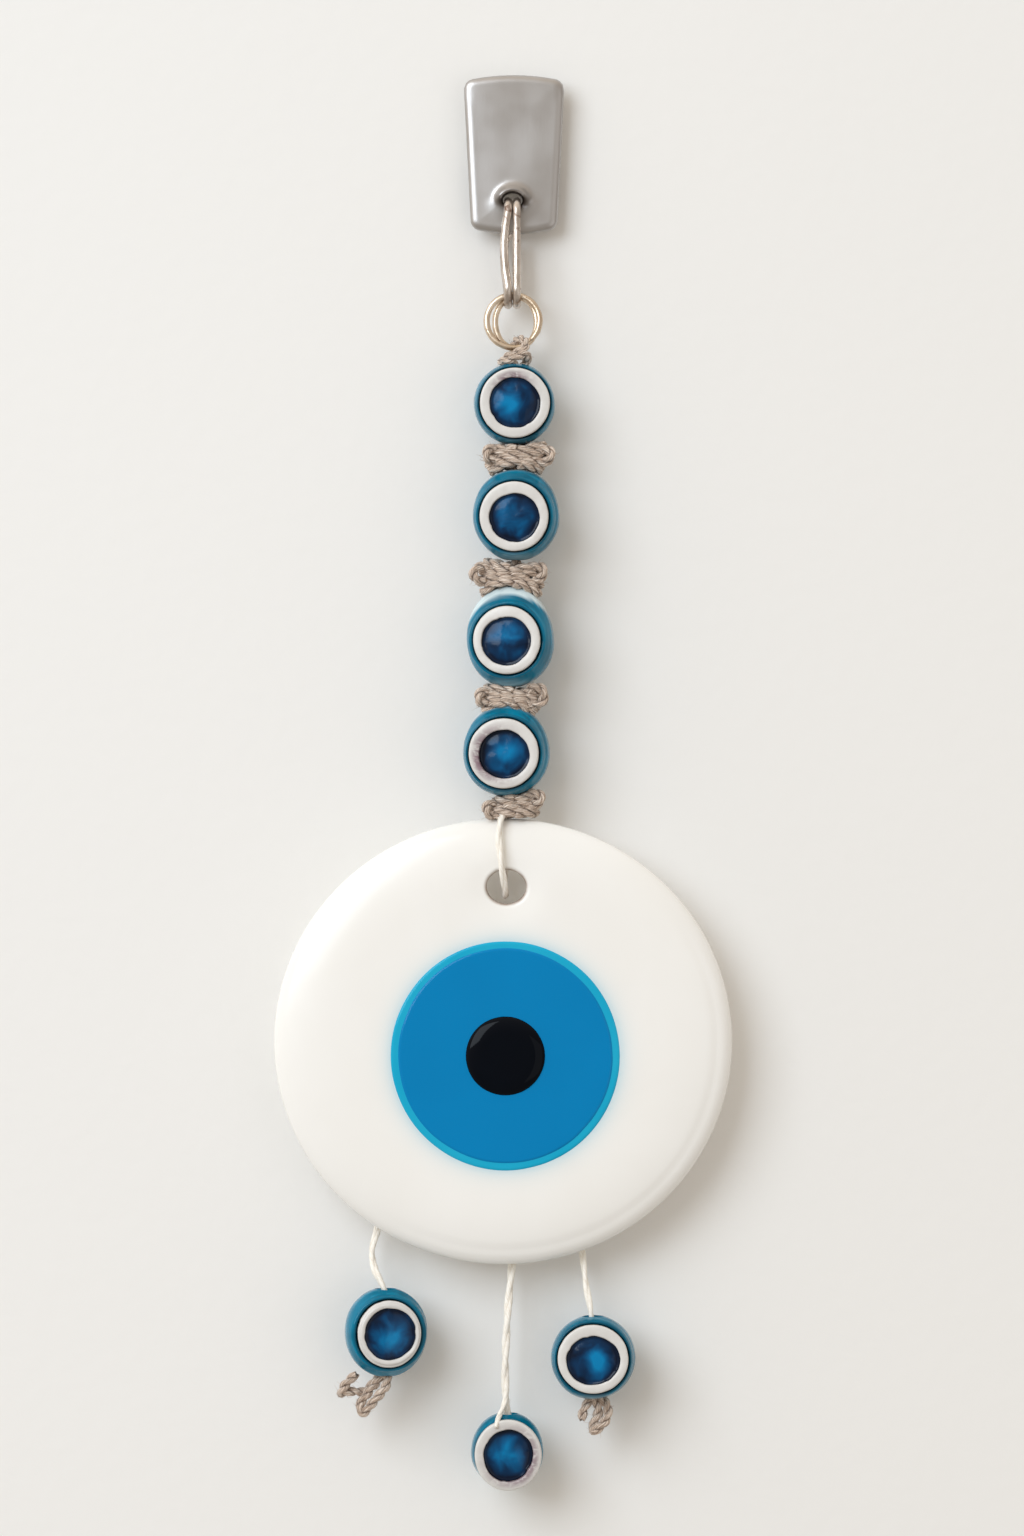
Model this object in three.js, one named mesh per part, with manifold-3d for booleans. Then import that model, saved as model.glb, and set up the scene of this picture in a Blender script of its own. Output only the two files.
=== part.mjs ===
// Evil eye ornament: an adhesive metal tag holds a split link and a split ring, and a knotted twine
// string with four eye beads hangs from them. The string carries a large glass eye disc, and three
// more eye beads hang on cords from the disc's lower edge.
// Millimetres, +Z up. The origin is on the wall plane Y = 0, behind the middle of the tag. The
// ornament hangs on the wall's -Y side, so its front faces -Y.
import * as THREE from "three";
import { mergeVertices } from "three/addons/utils/BufferGeometryUtils.js";
import Module from "manifold-3d";

const wasm = await Module();
wasm.setup();

const GAP = 0.3; // clearance between touching pieces
const OVERRUN = 1; // how far a cutting tool runs past the surface it cuts

// Wall tag: a thick plate with eased edges, held off the wall by a foam pad
const TAG = { topWidth: 22.1, bottomWidth: 19.2, height: 35.2, bow: 1.5, corner: 3.4 };
const TAG_BACK = 4.0;
const TAG_THICKNESS = 1.6;
const TAG_BEVEL = 0.6;
const PAD = { width: 16, height: 19, corner: 3, z: 6 };
const EYELET = { z: -9.85, halfWidth: 2.6, halfHeight: 1.9, rim: 0.9, openAngle: 0.2 };

// Split link: an oval of wire wound twice, seen edge on from the front
const LINK_WIRE = 0.825;
const LINK_TOP = { y: -4.6, z: -13.2, radius: 2.9 };
const LINK_BOTTOM = { y: -6.65, z: -29.9, radius: 3.5 };
const LINK_HALF_SPACING = 1.5;
const LINK_HOLE_SPACING = 1.0; // half spacing of the windings where they pass the eyelet
const LINK_X = -0.2;

// Split ring: two turns of wire, leaning out from the wall as the link does
const RING_WIRE = 0.675;
const RING_RADIUS = 5.82;
const RING_PITCH = 1.45;
const RING_CENTRE = { x: -0.2, y: -7.54, z: -37.17 };
const LEAN = THREE.MathUtils.degToRad(7);

// Twine string
const TWINE_CORE = 0.7;
const CORE_GAP = 0.6; // between a knot and the straight twine's end, so that the knot can sway
const LOOP = { x: 0.1, y: -7.7, z: -43.0, radius: 2.35, twine: 0.65, opening: 0.25 };
const LOOP_KNOT = { forward: 0.9, drop: 2.5, halfWidth: 2.42, halfDepth: 1.65, halfHeight: 1.1 };
const KNOTS = [
  { x: 0.4, y: -9.9, z: -67.1, radius: 2.25, halfLength: 6.6 },
  { x: -0.9, y: -10.4, z: -93.85, radius: 2.9, halfLength: 7.4 },
  { x: -0.6, y: -10.4, z: -120.2, radius: 1.85, halfLength: 6.4 },
  { x: -0.3, y: -10.4, z: -144.2, radius: 1.9, halfLength: 6.0 },
];

// Eye beads: radius across, half height along the bore, and where the eye looks (degrees)
const BEADS = [
  { x: 0.1, y: -9.25, z: -55.4, radius: 8.9, half: 9.0, yaw: 1, pitch: 0 },
  { x: 0.5, y: -10.4, z: -80.1, radius: 9.57, half: 10.3, yaw: -5, pitch: 3 },
  { x: -0.8, y: -10.4, z: -107.6, radius: 9.57, half: 10.3, yaw: -8, pitch: -1 },
  { x: -1.7, y: -10.4, z: -132.2, radius: 9.5, half: 9.7, yaw: -6, pitch: 1 },
  { x: -28.2, y: -10.4, z: -259.5, radius: 9.0, half: 9.8, yaw: 11, pitch: 0 },
  { x: -1.5, y: -10.4, z: -286.0, radius: 8.9, half: 8.8, yaw: 3, pitch: 0, pocket: true },
  { x: 17.4, y: -10.4, z: -265.1, radius: 9.35, half: 9.25, yaw: -1, pitch: -2 },
];
const BORE = 1.6;
const SEAT = { radius: 7.4, rim: 7.75, depth: 2.4 };
const EYE_RADIUS = 5.3;
const EYE_RING_PROUD = 1.2; // how far the white ring stands out of the bead's flat front
const POCKET = { radius: 2.4, depth: 3 };

// Glass disc: dripped layers of glass, with one hanging hole
const DISC = { x: -2.4, y: -10.5, z: -195.6, radius: 50.35, height: 98, half: 4, edge: 10 };
const DISC_HOLE = { x: -1.7, z: -161.6, halfWidth: 4.3, halfHeight: 3.75, flare: 1.2 };
const IRIS = { x: -1.9, z: -198.6, halo: 25.4, blue: 23.7, pupil: 8.8, recess: 1.6 };
const HALO_THICKNESS = 0.8;
const BLUE_THICKNESS = 0.7;
const PUPIL_RISE = 2.0;

// The loop that carries the disc: over its front, through its hole and up behind it
const DISC_CORD = 0.7;
const DISC_LOOP_ROUTE = [
  [-2.6, -12.8, -145.9],
  [-3.1, -14.1, -147.6],
  [-3.3, -15.1, -150.5],
  [-3.1, -15.6, -154.0],
  [-2.7, -15.6, -157.5],
  [-2.3, -14.9, -159.8],
  [-2.0, -13.0, -162.0],
  [-1.9, -10.2, -163.5],
  [-1.9, -7.4, -163.2],
  [-1.9, -5.5, -161.2],
  [-1.9, -5.1, -158.0],
  [-2.0, -5.4, -154.0],
  [-2.0, -5.9, -150.5],
  [-1.8, -6.9, -147.8],
  [-1.6, -8.0, -146.0],
];

// Pendants: each cord leaves a glue dab behind the disc and runs down through its bead
const DAB = { radius: 2.6, y: -6.3, thickness: 1.5 };
const PENDANTS = [
  {
    name: "left",
    dab: { x: -29.4, z: -231.0 },
    cord: 0.75,
    route: [
      [-29.5, -5.5, -233.9],
      [-30.2, -5.6, -237.5],
      [-31.3, -6.9, -242.0],
      [-30.6, -9.2, -246.0],
      [-28.8, -10.3, -249.6],
      [-28.2, -10.4, -253.0],
      [-28.2, -10.4, -269.0],
    ],
  },
  {
    name: "middle",
    dab: { x: -0.3, z: -238.2 },
    cord: 0.85,
    route: [
      [-0.3, -5.6, -241.1],
      [-0.4, -6.1, -245.0],
      [-1.0, -8.6, -250.5],
      [-1.5, -10.1, -257.0],
      [-1.9, -10.4, -265.0],
      [-1.9, -10.4, -272.0],
      [-1.5, -10.4, -278.5],
      [-1.5, -10.4, -291.8],
    ],
  },
  {
    name: "right",
    dab: { x: 15.0, z: -236.4 },
    cord: 0.7,
    route: [
      [15.0, -5.5, -239.3],
      [15.2, -6.3, -243.6],
      [15.9, -8.9, -249.5],
      [16.8, -10.2, -254.5],
      [17.3, -10.4, -260.0],
      [17.4, -10.4, -274.0],
    ],
  },
];
const TAIL = 0.9;
const STOP_KNOT = { radius: 1.9, half: 1.1 };
const END_KNOTS = [
  {
    name: "left_end_knot",
    centre: [-30.0, -10.4, -271.6],
    radius: 2.1,
    tails: [
      [[-30.0, -10.6, -271.6], [-33.0, -11.6, -270.2], [-35.6, -11.9, -270.6], [-38.3, -11.8, -273.2]],
      [[-30.0, -10.2, -271.6], [-32.4, -10.4, -272.9], [-33.7, -10.6, -275.0], [-33.6, -10.6, -278.0]],
    ],
  },
  {
    name: "right_end_knot",
    centre: [16.9, -10.4, -276.4],
    radius: 1.9,
    tails: [
      [[16.9, -11.0, -276.4], [15.8, -11.9, -277.8], [14.7, -12.1, -279.2]],
      [[16.9, -10.0, -276.4], [17.2, -9.8, -279.2], [16.7, -9.7, -281.8]],
    ],
  },
];

const steel = { color: 0xb2aaa3, roughness: 0.35, metalness: 1 };
const nickel = { color: 0xc4b3a6, roughness: 0.4, metalness: 1 };
const gold = { color: 0xd0b68c, roughness: 0.25, metalness: 1 };
const foam = { color: 0xdedad2, roughness: 0.95, metalness: 0 };
const twine = { color: 0x8a6f5a, roughness: 0.95, metalness: 0 };
const creamCord = { color: 0xe6dfd0, roughness: 0.85, metalness: 0 };
const tealGlass = { color: 0x14708a, roughness: 0.12, metalness: 0 };
const whiteClay = { color: 0xdadad6, roughness: 0.6, metalness: 0 };
const navyGlass = { color: 0x063c66, roughness: 0.08, metalness: 0 };
const whiteGlass = { color: 0xf2f0ea, roughness: 0.1, metalness: 0 };
const cyanGlass = { color: 0x18a5c8, roughness: 0.1, metalness: 0 };
const blueGlass = { color: 0x0080b6, roughness: 0.1, metalness: 0 };
const blackGlass = { color: 0x050b14, roughness: 0.06, metalness: 0 };
const glue = { color: 0xe8e4d8, roughness: 0.4, metalness: 0 };

const ornament = new THREE.Group();

function add(name, geometry, finish) {
  const mesh = new THREE.Mesh(geometry, new THREE.MeshStandardMaterial(finish));
  mesh.name = name;
  ornament.add(mesh);
  return mesh;
}

// A closed three.js geometry as a manifold-3d solid.
function solid(geometry) {
  const bare = geometry.clone();
  bare.deleteAttribute("normal");
  bare.deleteAttribute("uv");
  const merged = mergeVertices(bare, 1e-4);
  const triVerts = new Uint32Array(merged.index.array);
  return new wasm.Manifold(
    new wasm.Mesh({ numProp: 3, vertProperties: merged.attributes.position.array, triVerts }),
  );
}

function geometryOf(shape) {
  const mesh = shape.getMesh();
  return new THREE.BufferGeometry()
    .setAttribute("position", new THREE.BufferAttribute(mesh.vertProperties, 3))
    .setIndex(new THREE.BufferAttribute(mesh.triVerts, 1));
}

function point([x, y, z]) {
  return new THREE.Vector3(x, y, z);
}

function circle(radius, sides) {
  const corners = Array.from({ length: sides }, (_, i) => {
    const angle = (i / sides) * 2 * Math.PI;
    return new THREE.Vector2(radius * Math.cos(angle), radius * Math.sin(angle));
  });
  return new THREE.Shape(corners);
}

// A round tube along a curve, closed at both ends.
function tube(curve, radius, steps, sides = 8) {
  return new THREE.ExtrudeGeometry(circle(radius, sides), { steps, extrudePath: curve });
}

// A curve given by a function of 0 to 1.
class FormulaCurve extends THREE.Curve {
  constructor(formula) {
    super();
    this.formula = formula;
  }

  getPoint(t) {
    return this.formula(t);
  }
}

// A turned solid about the Y axis from [radius, y] points.
function turned(profile, segments) {
  return new THREE.LatheGeometry(profile.map(([r, y]) => new THREE.Vector2(r, y)), segments);
}

function frontView(geometry) {
  return geometry.rotateX(Math.PI / 2); // drawn in XY, now in XZ and extruded towards -Y
}

// Tag

function tagOutline() {
  const { topWidth, bottomWidth, height, bow, corner } = TAG;
  const top = height / 2 - bow;
  const [wide, narrow] = [topWidth / 2 - TAG_BEVEL, bottomWidth / 2 - TAG_BEVEL];
  const edge = top + bow - TAG_BEVEL;
  const outline = new THREE.Shape();
  outline.moveTo(-wide, top - corner);
  outline.quadraticCurveTo(-wide, top, -wide + corner, top);
  outline.quadraticCurveTo(0, 2 * edge - top, wide - corner, top);
  outline.quadraticCurveTo(wide, top, wide, top - corner);
  outline.lineTo(narrow, corner - top);
  outline.quadraticCurveTo(narrow, -top, narrow - corner, -top);
  outline.quadraticCurveTo(0, top - 2 * edge, corner - narrow, -top);
  outline.quadraticCurveTo(-narrow, -top, -narrow, corner - top);
  return outline;
}

function tagPlate() {
  const plate = new THREE.ExtrudeGeometry(tagOutline(), {
    depth: TAG_THICKNESS - 2 * TAG_BEVEL,
    bevelThickness: TAG_BEVEL,
    bevelSize: TAG_BEVEL,
    bevelSegments: 2,
    curveSegments: 5,
  });
  frontView(plate).translate(0, -TAG_BACK - TAG_BEVEL, 0);
  const front = -TAG_BACK - TAG_THICKNESS;
  const [across, up] = [EYELET.halfWidth + EYELET.rim, EYELET.halfHeight + EYELET.rim];
  const hood = new FormulaCurve((t) => {
    const angle = THREE.MathUtils.lerp(-EYELET.openAngle, Math.PI + EYELET.openAngle, t);
    return new THREE.Vector3(across * Math.cos(angle), front, EYELET.z + up * Math.sin(angle));
  });
  const hole = new THREE.CylinderGeometry(1, 1, 4 * TAG_THICKNESS, 20);
  hole.scale(EYELET.halfWidth, 1, EYELET.halfHeight).translate(0, front, EYELET.z);
  return geometryOf(solid(plate).add(solid(tube(hood, EYELET.rim, 14))).subtract(solid(hole)));
}

function foamPad() {
  const [x, y, r] = [PAD.width / 2, PAD.height / 2, PAD.corner];
  const outline = new THREE.Shape();
  outline.moveTo(-x, r - y);
  outline.lineTo(-x, y - r);
  outline.quadraticCurveTo(-x, y, r - x, y);
  outline.lineTo(x - r, y);
  outline.quadraticCurveTo(x, y, x, y - r);
  outline.lineTo(x, r - y);
  outline.quadraticCurveTo(x, -y, x - r, -y);
  outline.lineTo(r - x, -y);
  outline.quadraticCurveTo(-x, -y, -x, r - y);
  const depth = TAG_BACK - GAP;
  const pad = new THREE.ExtrudeGeometry(outline, { depth, bevelEnabled: false, curveSegments: 3 });
  return frontView(pad).translate(0, 0, PAD.z);
}

// Split link

// The oval's centreline, once round from the middle of the back leg: up, over the eyelet's lip,
// down the front and back round the bottom.
function linkOval(fraction) {
  const [top, bottom] = [LINK_TOP, LINK_BOTTOM];
  const lean = Math.atan2(top.y - bottom.y, top.z - bottom.z);
  const leg = Math.hypot(top.y - bottom.y, top.z - bottom.z);
  const lengths = [leg / 2, Math.PI * top.radius, leg, Math.PI * bottom.radius, leg / 2];
  const total = lengths.reduce((sum, length) => sum + length);
  let along = (((fraction % 1) + 1) % 1) * total;
  let stage = 0;
  while (stage < 4 && along > lengths[stage]) {
    along -= lengths[stage];
    stage += 1;
  }
  const share = along / lengths[stage];
  // depth is out from the oval's middle line towards the wall, and height is up it from the bottom
  const depth = [
    THREE.MathUtils.lerp((top.radius + bottom.radius) / 2, top.radius, share),
    top.radius * Math.cos(Math.PI * share),
    -THREE.MathUtils.lerp(top.radius, bottom.radius, share),
    -bottom.radius * Math.cos(Math.PI * share),
    THREE.MathUtils.lerp(bottom.radius, (top.radius + bottom.radius) / 2, share),
  ][stage];
  const height = [
    leg * (1 + share) / 2,
    leg + top.radius * Math.sin(Math.PI * share),
    leg * (1 - share),
    -bottom.radius * Math.sin(Math.PI * share),
    (leg * share) / 2,
  ][stage];
  return {
    y: bottom.y + height * Math.sin(lean) + depth * Math.cos(lean),
    z: bottom.z + height * Math.cos(lean) - depth * Math.sin(lean),
    nearTop: THREE.MathUtils.clamp((height - leg) / top.radius + 1, 0, 1),
  };
}

function splitLink() {
  const ends = 0.07; // the loose ends stop this share of a turn from the crossover
  const curve = new FormulaCurve((t) => {
    const turn = THREE.MathUtils.lerp(ends - 1, 1 - ends, t);
    const { y, z, nearTop } = linkOval(turn);
    const crossing = THREE.MathUtils.clamp(turn / ends, -1, 1);
    const spacing = THREE.MathUtils.lerp(LINK_HALF_SPACING, LINK_HOLE_SPACING, nearTop);
    return new THREE.Vector3(LINK_X + spacing * Math.sin((crossing * Math.PI) / 2), y, z);
  });
  return tube(curve, LINK_WIRE, 60);
}

// Split ring

function splitRing() {
  const gapAngle = THREE.MathUtils.degToRad(50); // the loose ends meet below, on the right
  const curve = new FormulaCurve((t) => {
    const turn = 2 * t - 1;
    const angle = 2 * Math.PI * turn - gapAngle;
    return new THREE.Vector3(
      RING_RADIUS * Math.cos(angle),
      RING_PITCH * turn,
      RING_RADIUS * Math.sin(angle),
    );
  });
  const ring = tube(curve, RING_WIRE, 44).rotateX(-LEAN);
  return ring.translate(RING_CENTRE.x, RING_CENTRE.y, RING_CENTRE.z);
}

// Twine

function hangingLoop() {
  const curve = new FormulaCurve((t) => {
    const [start, end] = [LOOP.opening - Math.PI / 2, 1.5 * Math.PI - LOOP.opening];
    const angle = THREE.MathUtils.lerp(start, end, t);
    return new THREE.Vector3(0, LOOP.radius * Math.cos(angle), LOOP.radius * Math.sin(angle));
  });
  const { forward, drop, halfWidth, halfDepth, halfHeight } = LOOP_KNOT;
  const knot = new THREE.SphereGeometry(1, 10, 8).scale(halfWidth, halfDepth, halfHeight);
  knot.translate(0, -forward, -drop);
  const loop = geometryOf(solid(tube(curve, LOOP.twine, 18)).add(solid(knot)));
  return loop.translate(LOOP.x, LOOP.y, LOOP.z);
}

function barrelKnot({ x, y, z, radius, halfLength }) {
  const profile = [
    [0, -halfLength],
    [radius * 0.55, -halfLength],
    [radius * 0.9, -halfLength * 0.75],
    [radius, -halfLength * 0.4],
    [radius, halfLength * 0.4],
    [radius * 0.9, halfLength * 0.75],
    [radius * 0.55, halfLength],
    [0, halfLength],
  ];
  return turned(profile, 14).rotateZ(-Math.PI / 2).translate(x, y, z);
}

const LOOP_KNOT_CENTRE = {
  x: LOOP.x,
  y: LOOP.y - LOOP_KNOT.forward,
  z: LOOP.z - LOOP_KNOT.drop,
  radius: LOOP_KNOT.halfHeight,
};

// The straight twine between two knots, through the bore of the bead that they hold.
function stringCore(above, bead, below) {
  const from = new THREE.Vector3(bead.x, above.y, above.z - above.radius - CORE_GAP);
  const to = new THREE.Vector3(bead.x, below.y, below.z + below.radius + CORE_GAP);
  return tube(new THREE.LineCurve3(from, to), TWINE_CORE, 1);
}

// Eye beads

function placeEye(geometry, bead) {
  geometry.rotateX(THREE.MathUtils.degToRad(bead.pitch));
  geometry.rotateZ(THREE.MathUtils.degToRad(bead.yaw));
  return geometry.translate(bead.x, bead.y, bead.z);
}

function beadFace(bead) {
  return Math.sqrt(bead.radius ** 2 - SEAT.rim ** 2); // the flat front's distance from the centre
}

function beadBody(bead) {
  const edge = Math.acos(BORE / bead.radius);
  const steps = 8;
  const wall = Array.from({ length: steps + 1 }, (_, i) => {
    const angle = THREE.MathUtils.lerp(-edge, edge, i / steps);
    return [bead.radius * Math.cos(angle), bead.half * Math.sin(angle)];
  });
  const ball = turned([...wall, wall[0]], 20).rotateX(Math.PI / 2).translate(bead.x, bead.y, bead.z);
  const face = beadFace(bead);
  const front = new THREE.CylinderGeometry(2 * bead.radius, 2 * bead.radius, bead.radius, 12);
  front.translate(0, -face - bead.radius / 2, 0);
  const seat = new THREE.CylinderGeometry(SEAT.radius, SEAT.radius, SEAT.depth + OVERRUN, 20);
  seat.translate(0, -face + SEAT.depth - (SEAT.depth + OVERRUN) / 2, 0);
  let body = solid(ball).subtract(solid(placeEye(front, bead))).subtract(solid(placeEye(seat, bead)));
  if (bead.pocket) {
    const pocket = new THREE.CylinderGeometry(POCKET.radius, POCKET.radius, 2 * POCKET.depth, 12);
    pocket.rotateX(Math.PI / 2).translate(bead.x, bead.y, bead.z - bead.half);
    body = body.subtract(solid(pocket));
  }
  return geometryOf(body);
}

function eyeRing(bead) {
  const back = -beadFace(bead) + SEAT.depth - GAP;
  const front = -beadFace(bead) - EYE_RING_PROUD;
  const [inner, outer] = [EYE_RADIUS, SEAT.radius - GAP];
  const profile = [
    [inner, back],
    [inner, front + 0.5],
    [inner + 0.7, front],
    [outer - 0.5, front + 0.2],
    [outer, front + 0.9],
    [outer, back],
    [inner, back],
  ];
  return placeEye(turned(profile, 20), bead);
}

function eyeGlass(bead) {
  const back = -beadFace(bead) + SEAT.depth - GAP;
  const radius = EYE_RADIUS - GAP;
  const profile = [
    [0, back],
    [0, back - 1.8],
    [radius * 0.6, back - 2.0],
    [radius, back - 2.6],
    [radius, back],
    [0, back],
  ];
  return placeEye(turned(profile, 16), bead);
}

// Glass disc

function glassDisc() {
  const { radius, half, edge } = DISC;
  const flat = radius - edge;
  const steps = 8;
  const rim = Array.from({ length: steps + 1 }, (_, i) => {
    const angle = ((i / steps) - 0.5) * Math.PI;
    return [flat + edge * Math.cos(angle), half * Math.sin(angle)];
  });
  const blank = turned([[0, -half], ...rim, [0, half]], 48);
  blank.scale(1, 1, DISC.height / 2 / radius).translate(DISC.x, DISC.y, DISC.z);
  const { halfWidth, halfHeight, flare } = DISC_HOLE;
  const throat = half - flare;
  const hole = turned(
    [
      [0, -half - OVERRUN],
      [halfWidth + flare + OVERRUN, -half - OVERRUN],
      [halfWidth + flare * 0.4, -half + flare * 0.3],
      [halfWidth, -throat],
      [halfWidth, throat],
      [halfWidth + flare * 0.4, half - flare * 0.3],
      [halfWidth + flare + OVERRUN, half + OVERRUN],
      [0, half + OVERRUN],
    ],
    20,
  );
  hole.scale(1, 1, halfHeight / halfWidth).translate(DISC_HOLE.x, DISC.y, DISC_HOLE.z);
  const recess = new THREE.CylinderGeometry(IRIS.halo + GAP, IRIS.halo + GAP, 2 * IRIS.recess, 40);
  recess.translate(IRIS.x, DISC.y - half, IRIS.z);
  return geometryOf(solid(blank).subtract(solid(hole)).subtract(solid(recess)));
}

// A round layer of glass on the disc's front, from its back plane outwards.
function layer(radius, backPlane, thickness, segments) {
  const profile = [
    [0, backPlane],
    [0, backPlane - thickness],
    [radius - thickness * 0.5, backPlane - thickness],
    [radius, backPlane - thickness * 0.5],
    [radius, backPlane],
    [0, backPlane],
  ];
  return turned(profile, segments).translate(IRIS.x, 0, IRIS.z);
}

function pupilDrop(backPlane) {
  const steps = 5;
  const dome = Array.from({ length: steps + 1 }, (_, i) => {
    const angle = (i / steps) * (Math.PI / 2);
    return [IRIS.pupil * Math.sin(angle), backPlane - 0.3 - (PUPIL_RISE - 0.3) * Math.cos(angle)];
  });
  const profile = [[0, backPlane], ...dome, [IRIS.pupil, backPlane], [0, backPlane]];
  return turned(profile, 22).translate(IRIS.x, 0, IRIS.z);
}

function addDisc() {
  add("glass_disc", glassDisc(), whiteGlass);
  const haloBack = DISC.y - DISC.half + IRIS.recess - GAP;
  const irisBack = haloBack - HALO_THICKNESS - GAP;
  const pupilBack = irisBack - BLUE_THICKNESS - GAP;
  add("iris_halo", layer(IRIS.halo, haloBack, HALO_THICKNESS, 36), cyanGlass);
  add("iris", layer(IRIS.blue, irisBack, BLUE_THICKNESS, 36), blueGlass);
  add("pupil", pupilDrop(pupilBack), blackGlass);
  const route = new THREE.CatmullRomCurve3(DISC_LOOP_ROUTE.map(point));
  add("disc_loop", tube(route, DISC_CORD, 30), creamCord);
}

// Pendants

function glueDab({ x, z }) {
  const { radius, y, thickness } = DAB;
  const profile = [
    [0, y],
    [radius, y],
    [radius, y + thickness * 0.5],
    [radius * 0.6, y + thickness],
    [0, y + thickness],
  ];
  return turned(profile, 14).translate(x, 0, z);
}

function endKnot({ centre, radius, tails }) {
  const ball = new THREE.SphereGeometry(radius, 10, 8).scale(1.15, 1, 0.8).translate(...centre);
  return geometryOf(
    tails.reduce(
      (knot, tail) => knot.add(solid(tube(new THREE.CatmullRomCurve3(tail.map(point)), TAIL, 6))),
      solid(ball),
    ),
  );
}

function stopKnot(bead) {
  const knot = new THREE.SphereGeometry(STOP_KNOT.radius, 10, 6);
  knot.scale(1, 1, STOP_KNOT.half / STOP_KNOT.radius);
  return knot.translate(bead.x, bead.y, bead.z - bead.half + STOP_KNOT.half + GAP);
}

add("tag_plate", tagPlate(), steel);
add("adhesive_pad", foamPad(), foam);
add("split_link", splitLink(), nickel);
add("split_ring", splitRing(), gold);
add("hanging_loop", hangingLoop(), twine);
KNOTS.forEach((knot, index) => {
  const above = index ? KNOTS[index - 1] : LOOP_KNOT_CENTRE;
  add(`string_core_${index + 1}`, stringCore(above, BEADS[index], knot), twine);
  add(`knot_${index + 1}`, barrelKnot(knot), twine);
});
BEADS.forEach((bead, index) => {
  add(`bead_${index + 1}_body`, beadBody(bead), tealGlass);
  add(`bead_${index + 1}_ring`, eyeRing(bead), whiteClay);
  add(`bead_${index + 1}_eye`, eyeGlass(bead), navyGlass);
});
addDisc();
for (const { name, dab, cord, route } of PENDANTS) {
  add(`${name}_glue_dab`, glueDab(dab), glue);
  add(`${name}_pendant_cord`, tube(new THREE.CatmullRomCurve3(route.map(point)), cord, 18), creamCord);
}
for (const knot of END_KNOTS) {
  add(knot.name, endKnot(knot), twine);
}
add("middle_stop_knot", stopKnot(BEADS[5]), creamCord);

export default ornament;
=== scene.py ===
"""The looks of the evil eye ornament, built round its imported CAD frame.

Shapes are worked out in millimetres and turned into metres where a mesh is made. The wall is the
plane Y = 0, the front faces -Y and Z is up.
"""

import math

import bmesh
import bpy
import numpy as np
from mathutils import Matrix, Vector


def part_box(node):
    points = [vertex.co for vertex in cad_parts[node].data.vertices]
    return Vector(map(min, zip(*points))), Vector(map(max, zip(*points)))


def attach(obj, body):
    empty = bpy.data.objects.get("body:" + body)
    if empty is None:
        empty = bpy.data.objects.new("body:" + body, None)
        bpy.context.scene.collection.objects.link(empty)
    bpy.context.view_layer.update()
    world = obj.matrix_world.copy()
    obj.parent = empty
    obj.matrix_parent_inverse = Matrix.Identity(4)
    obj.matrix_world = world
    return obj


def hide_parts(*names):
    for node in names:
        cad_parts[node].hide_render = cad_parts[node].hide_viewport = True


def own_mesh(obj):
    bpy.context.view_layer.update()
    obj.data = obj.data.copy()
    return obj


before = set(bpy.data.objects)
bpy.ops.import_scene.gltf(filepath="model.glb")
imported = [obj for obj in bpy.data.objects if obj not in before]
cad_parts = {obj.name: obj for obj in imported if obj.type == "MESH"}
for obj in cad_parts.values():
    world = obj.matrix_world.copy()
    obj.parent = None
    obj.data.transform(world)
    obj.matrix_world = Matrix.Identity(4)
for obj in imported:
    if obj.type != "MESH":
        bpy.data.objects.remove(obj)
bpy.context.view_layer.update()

MM = 0.001
UP = np.array([0.0, 0.0, 1.0])


def box(node):
    """The lowest and the highest corner of a CAD node, in millimetres."""
    low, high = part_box(node)
    return np.array(low) / MM, np.array(high) / MM


def centre(node):
    low, high = box(node)
    return (low + high) / 2


def unit(vector):
    return vector / np.linalg.norm(vector, axis=-1, keepdims=True)


def smooth(value, start, end):
    """0 at start, 1 at end, and an eased step between them."""
    share = np.clip((value - start) / (end - start), 0, 1)
    return share * share * (3 - 2 * share)


def ripple(points, seed, size):
    """Repeatable smooth noise, about -1 to 1, with features of that size in millimetres."""
    random = np.random.default_rng(seed)
    waves = random.normal(size=(14, 3)) * 2.2 / size
    phases = random.uniform(0, 2 * math.pi, 14)
    return np.sin(points @ waves.T + phases).mean(axis=-1) * 2


def circle(count):
    """Evenly spaced angles all the way round."""
    return np.linspace(0, 2 * math.pi, count, endpoint=False)


def lengths_along(line):
    """How far along a line each of its points lies."""
    return np.concatenate([[0], np.cumsum(np.linalg.norm(np.diff(line, axis=0), axis=1))])


# Camera and stage, in millimetres

VIEW_HEIGHT = 337.9  # of the upright strip that the picture takes in
VIEW_CENTRE = np.array([-0.44, -10.0, -135.5])
CAMERA_DISTANCE = 1250.0
SENSOR_SIZE = 36  # along the picture's longer side
WALL_SIZE = 1600.0
WALL_GAP = 0.4  # between the ornament's back and the wall that is seen


def make_camera():
    data = bpy.data.cameras.new("camera")
    data.sensor_width = SENSOR_SIZE
    data.lens = SENSOR_SIZE * CAMERA_DISTANCE / VIEW_HEIGHT
    data.clip_end = 20
    camera = bpy.data.objects.new("camera", data)
    camera.location = (VIEW_CENTRE - [0, CAMERA_DISTANCE, 0]) * MM
    camera.rotation_euler = (math.pi / 2, 0, 0)
    bpy.context.scene.collection.objects.link(camera)
    bpy.context.scene.camera = camera


make_camera()


# Colours and shader nodes


def colour(red, green, blue):
    """A colour given as screen values of 0 to 255."""
    channels = [c / 255 for c in (red, green, blue)]
    linear = [c / 12.92 if c < 0.04045 else ((c + 0.055) / 1.055) ** 2.4 for c in channels]
    return (*linear, 1.0)


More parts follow.
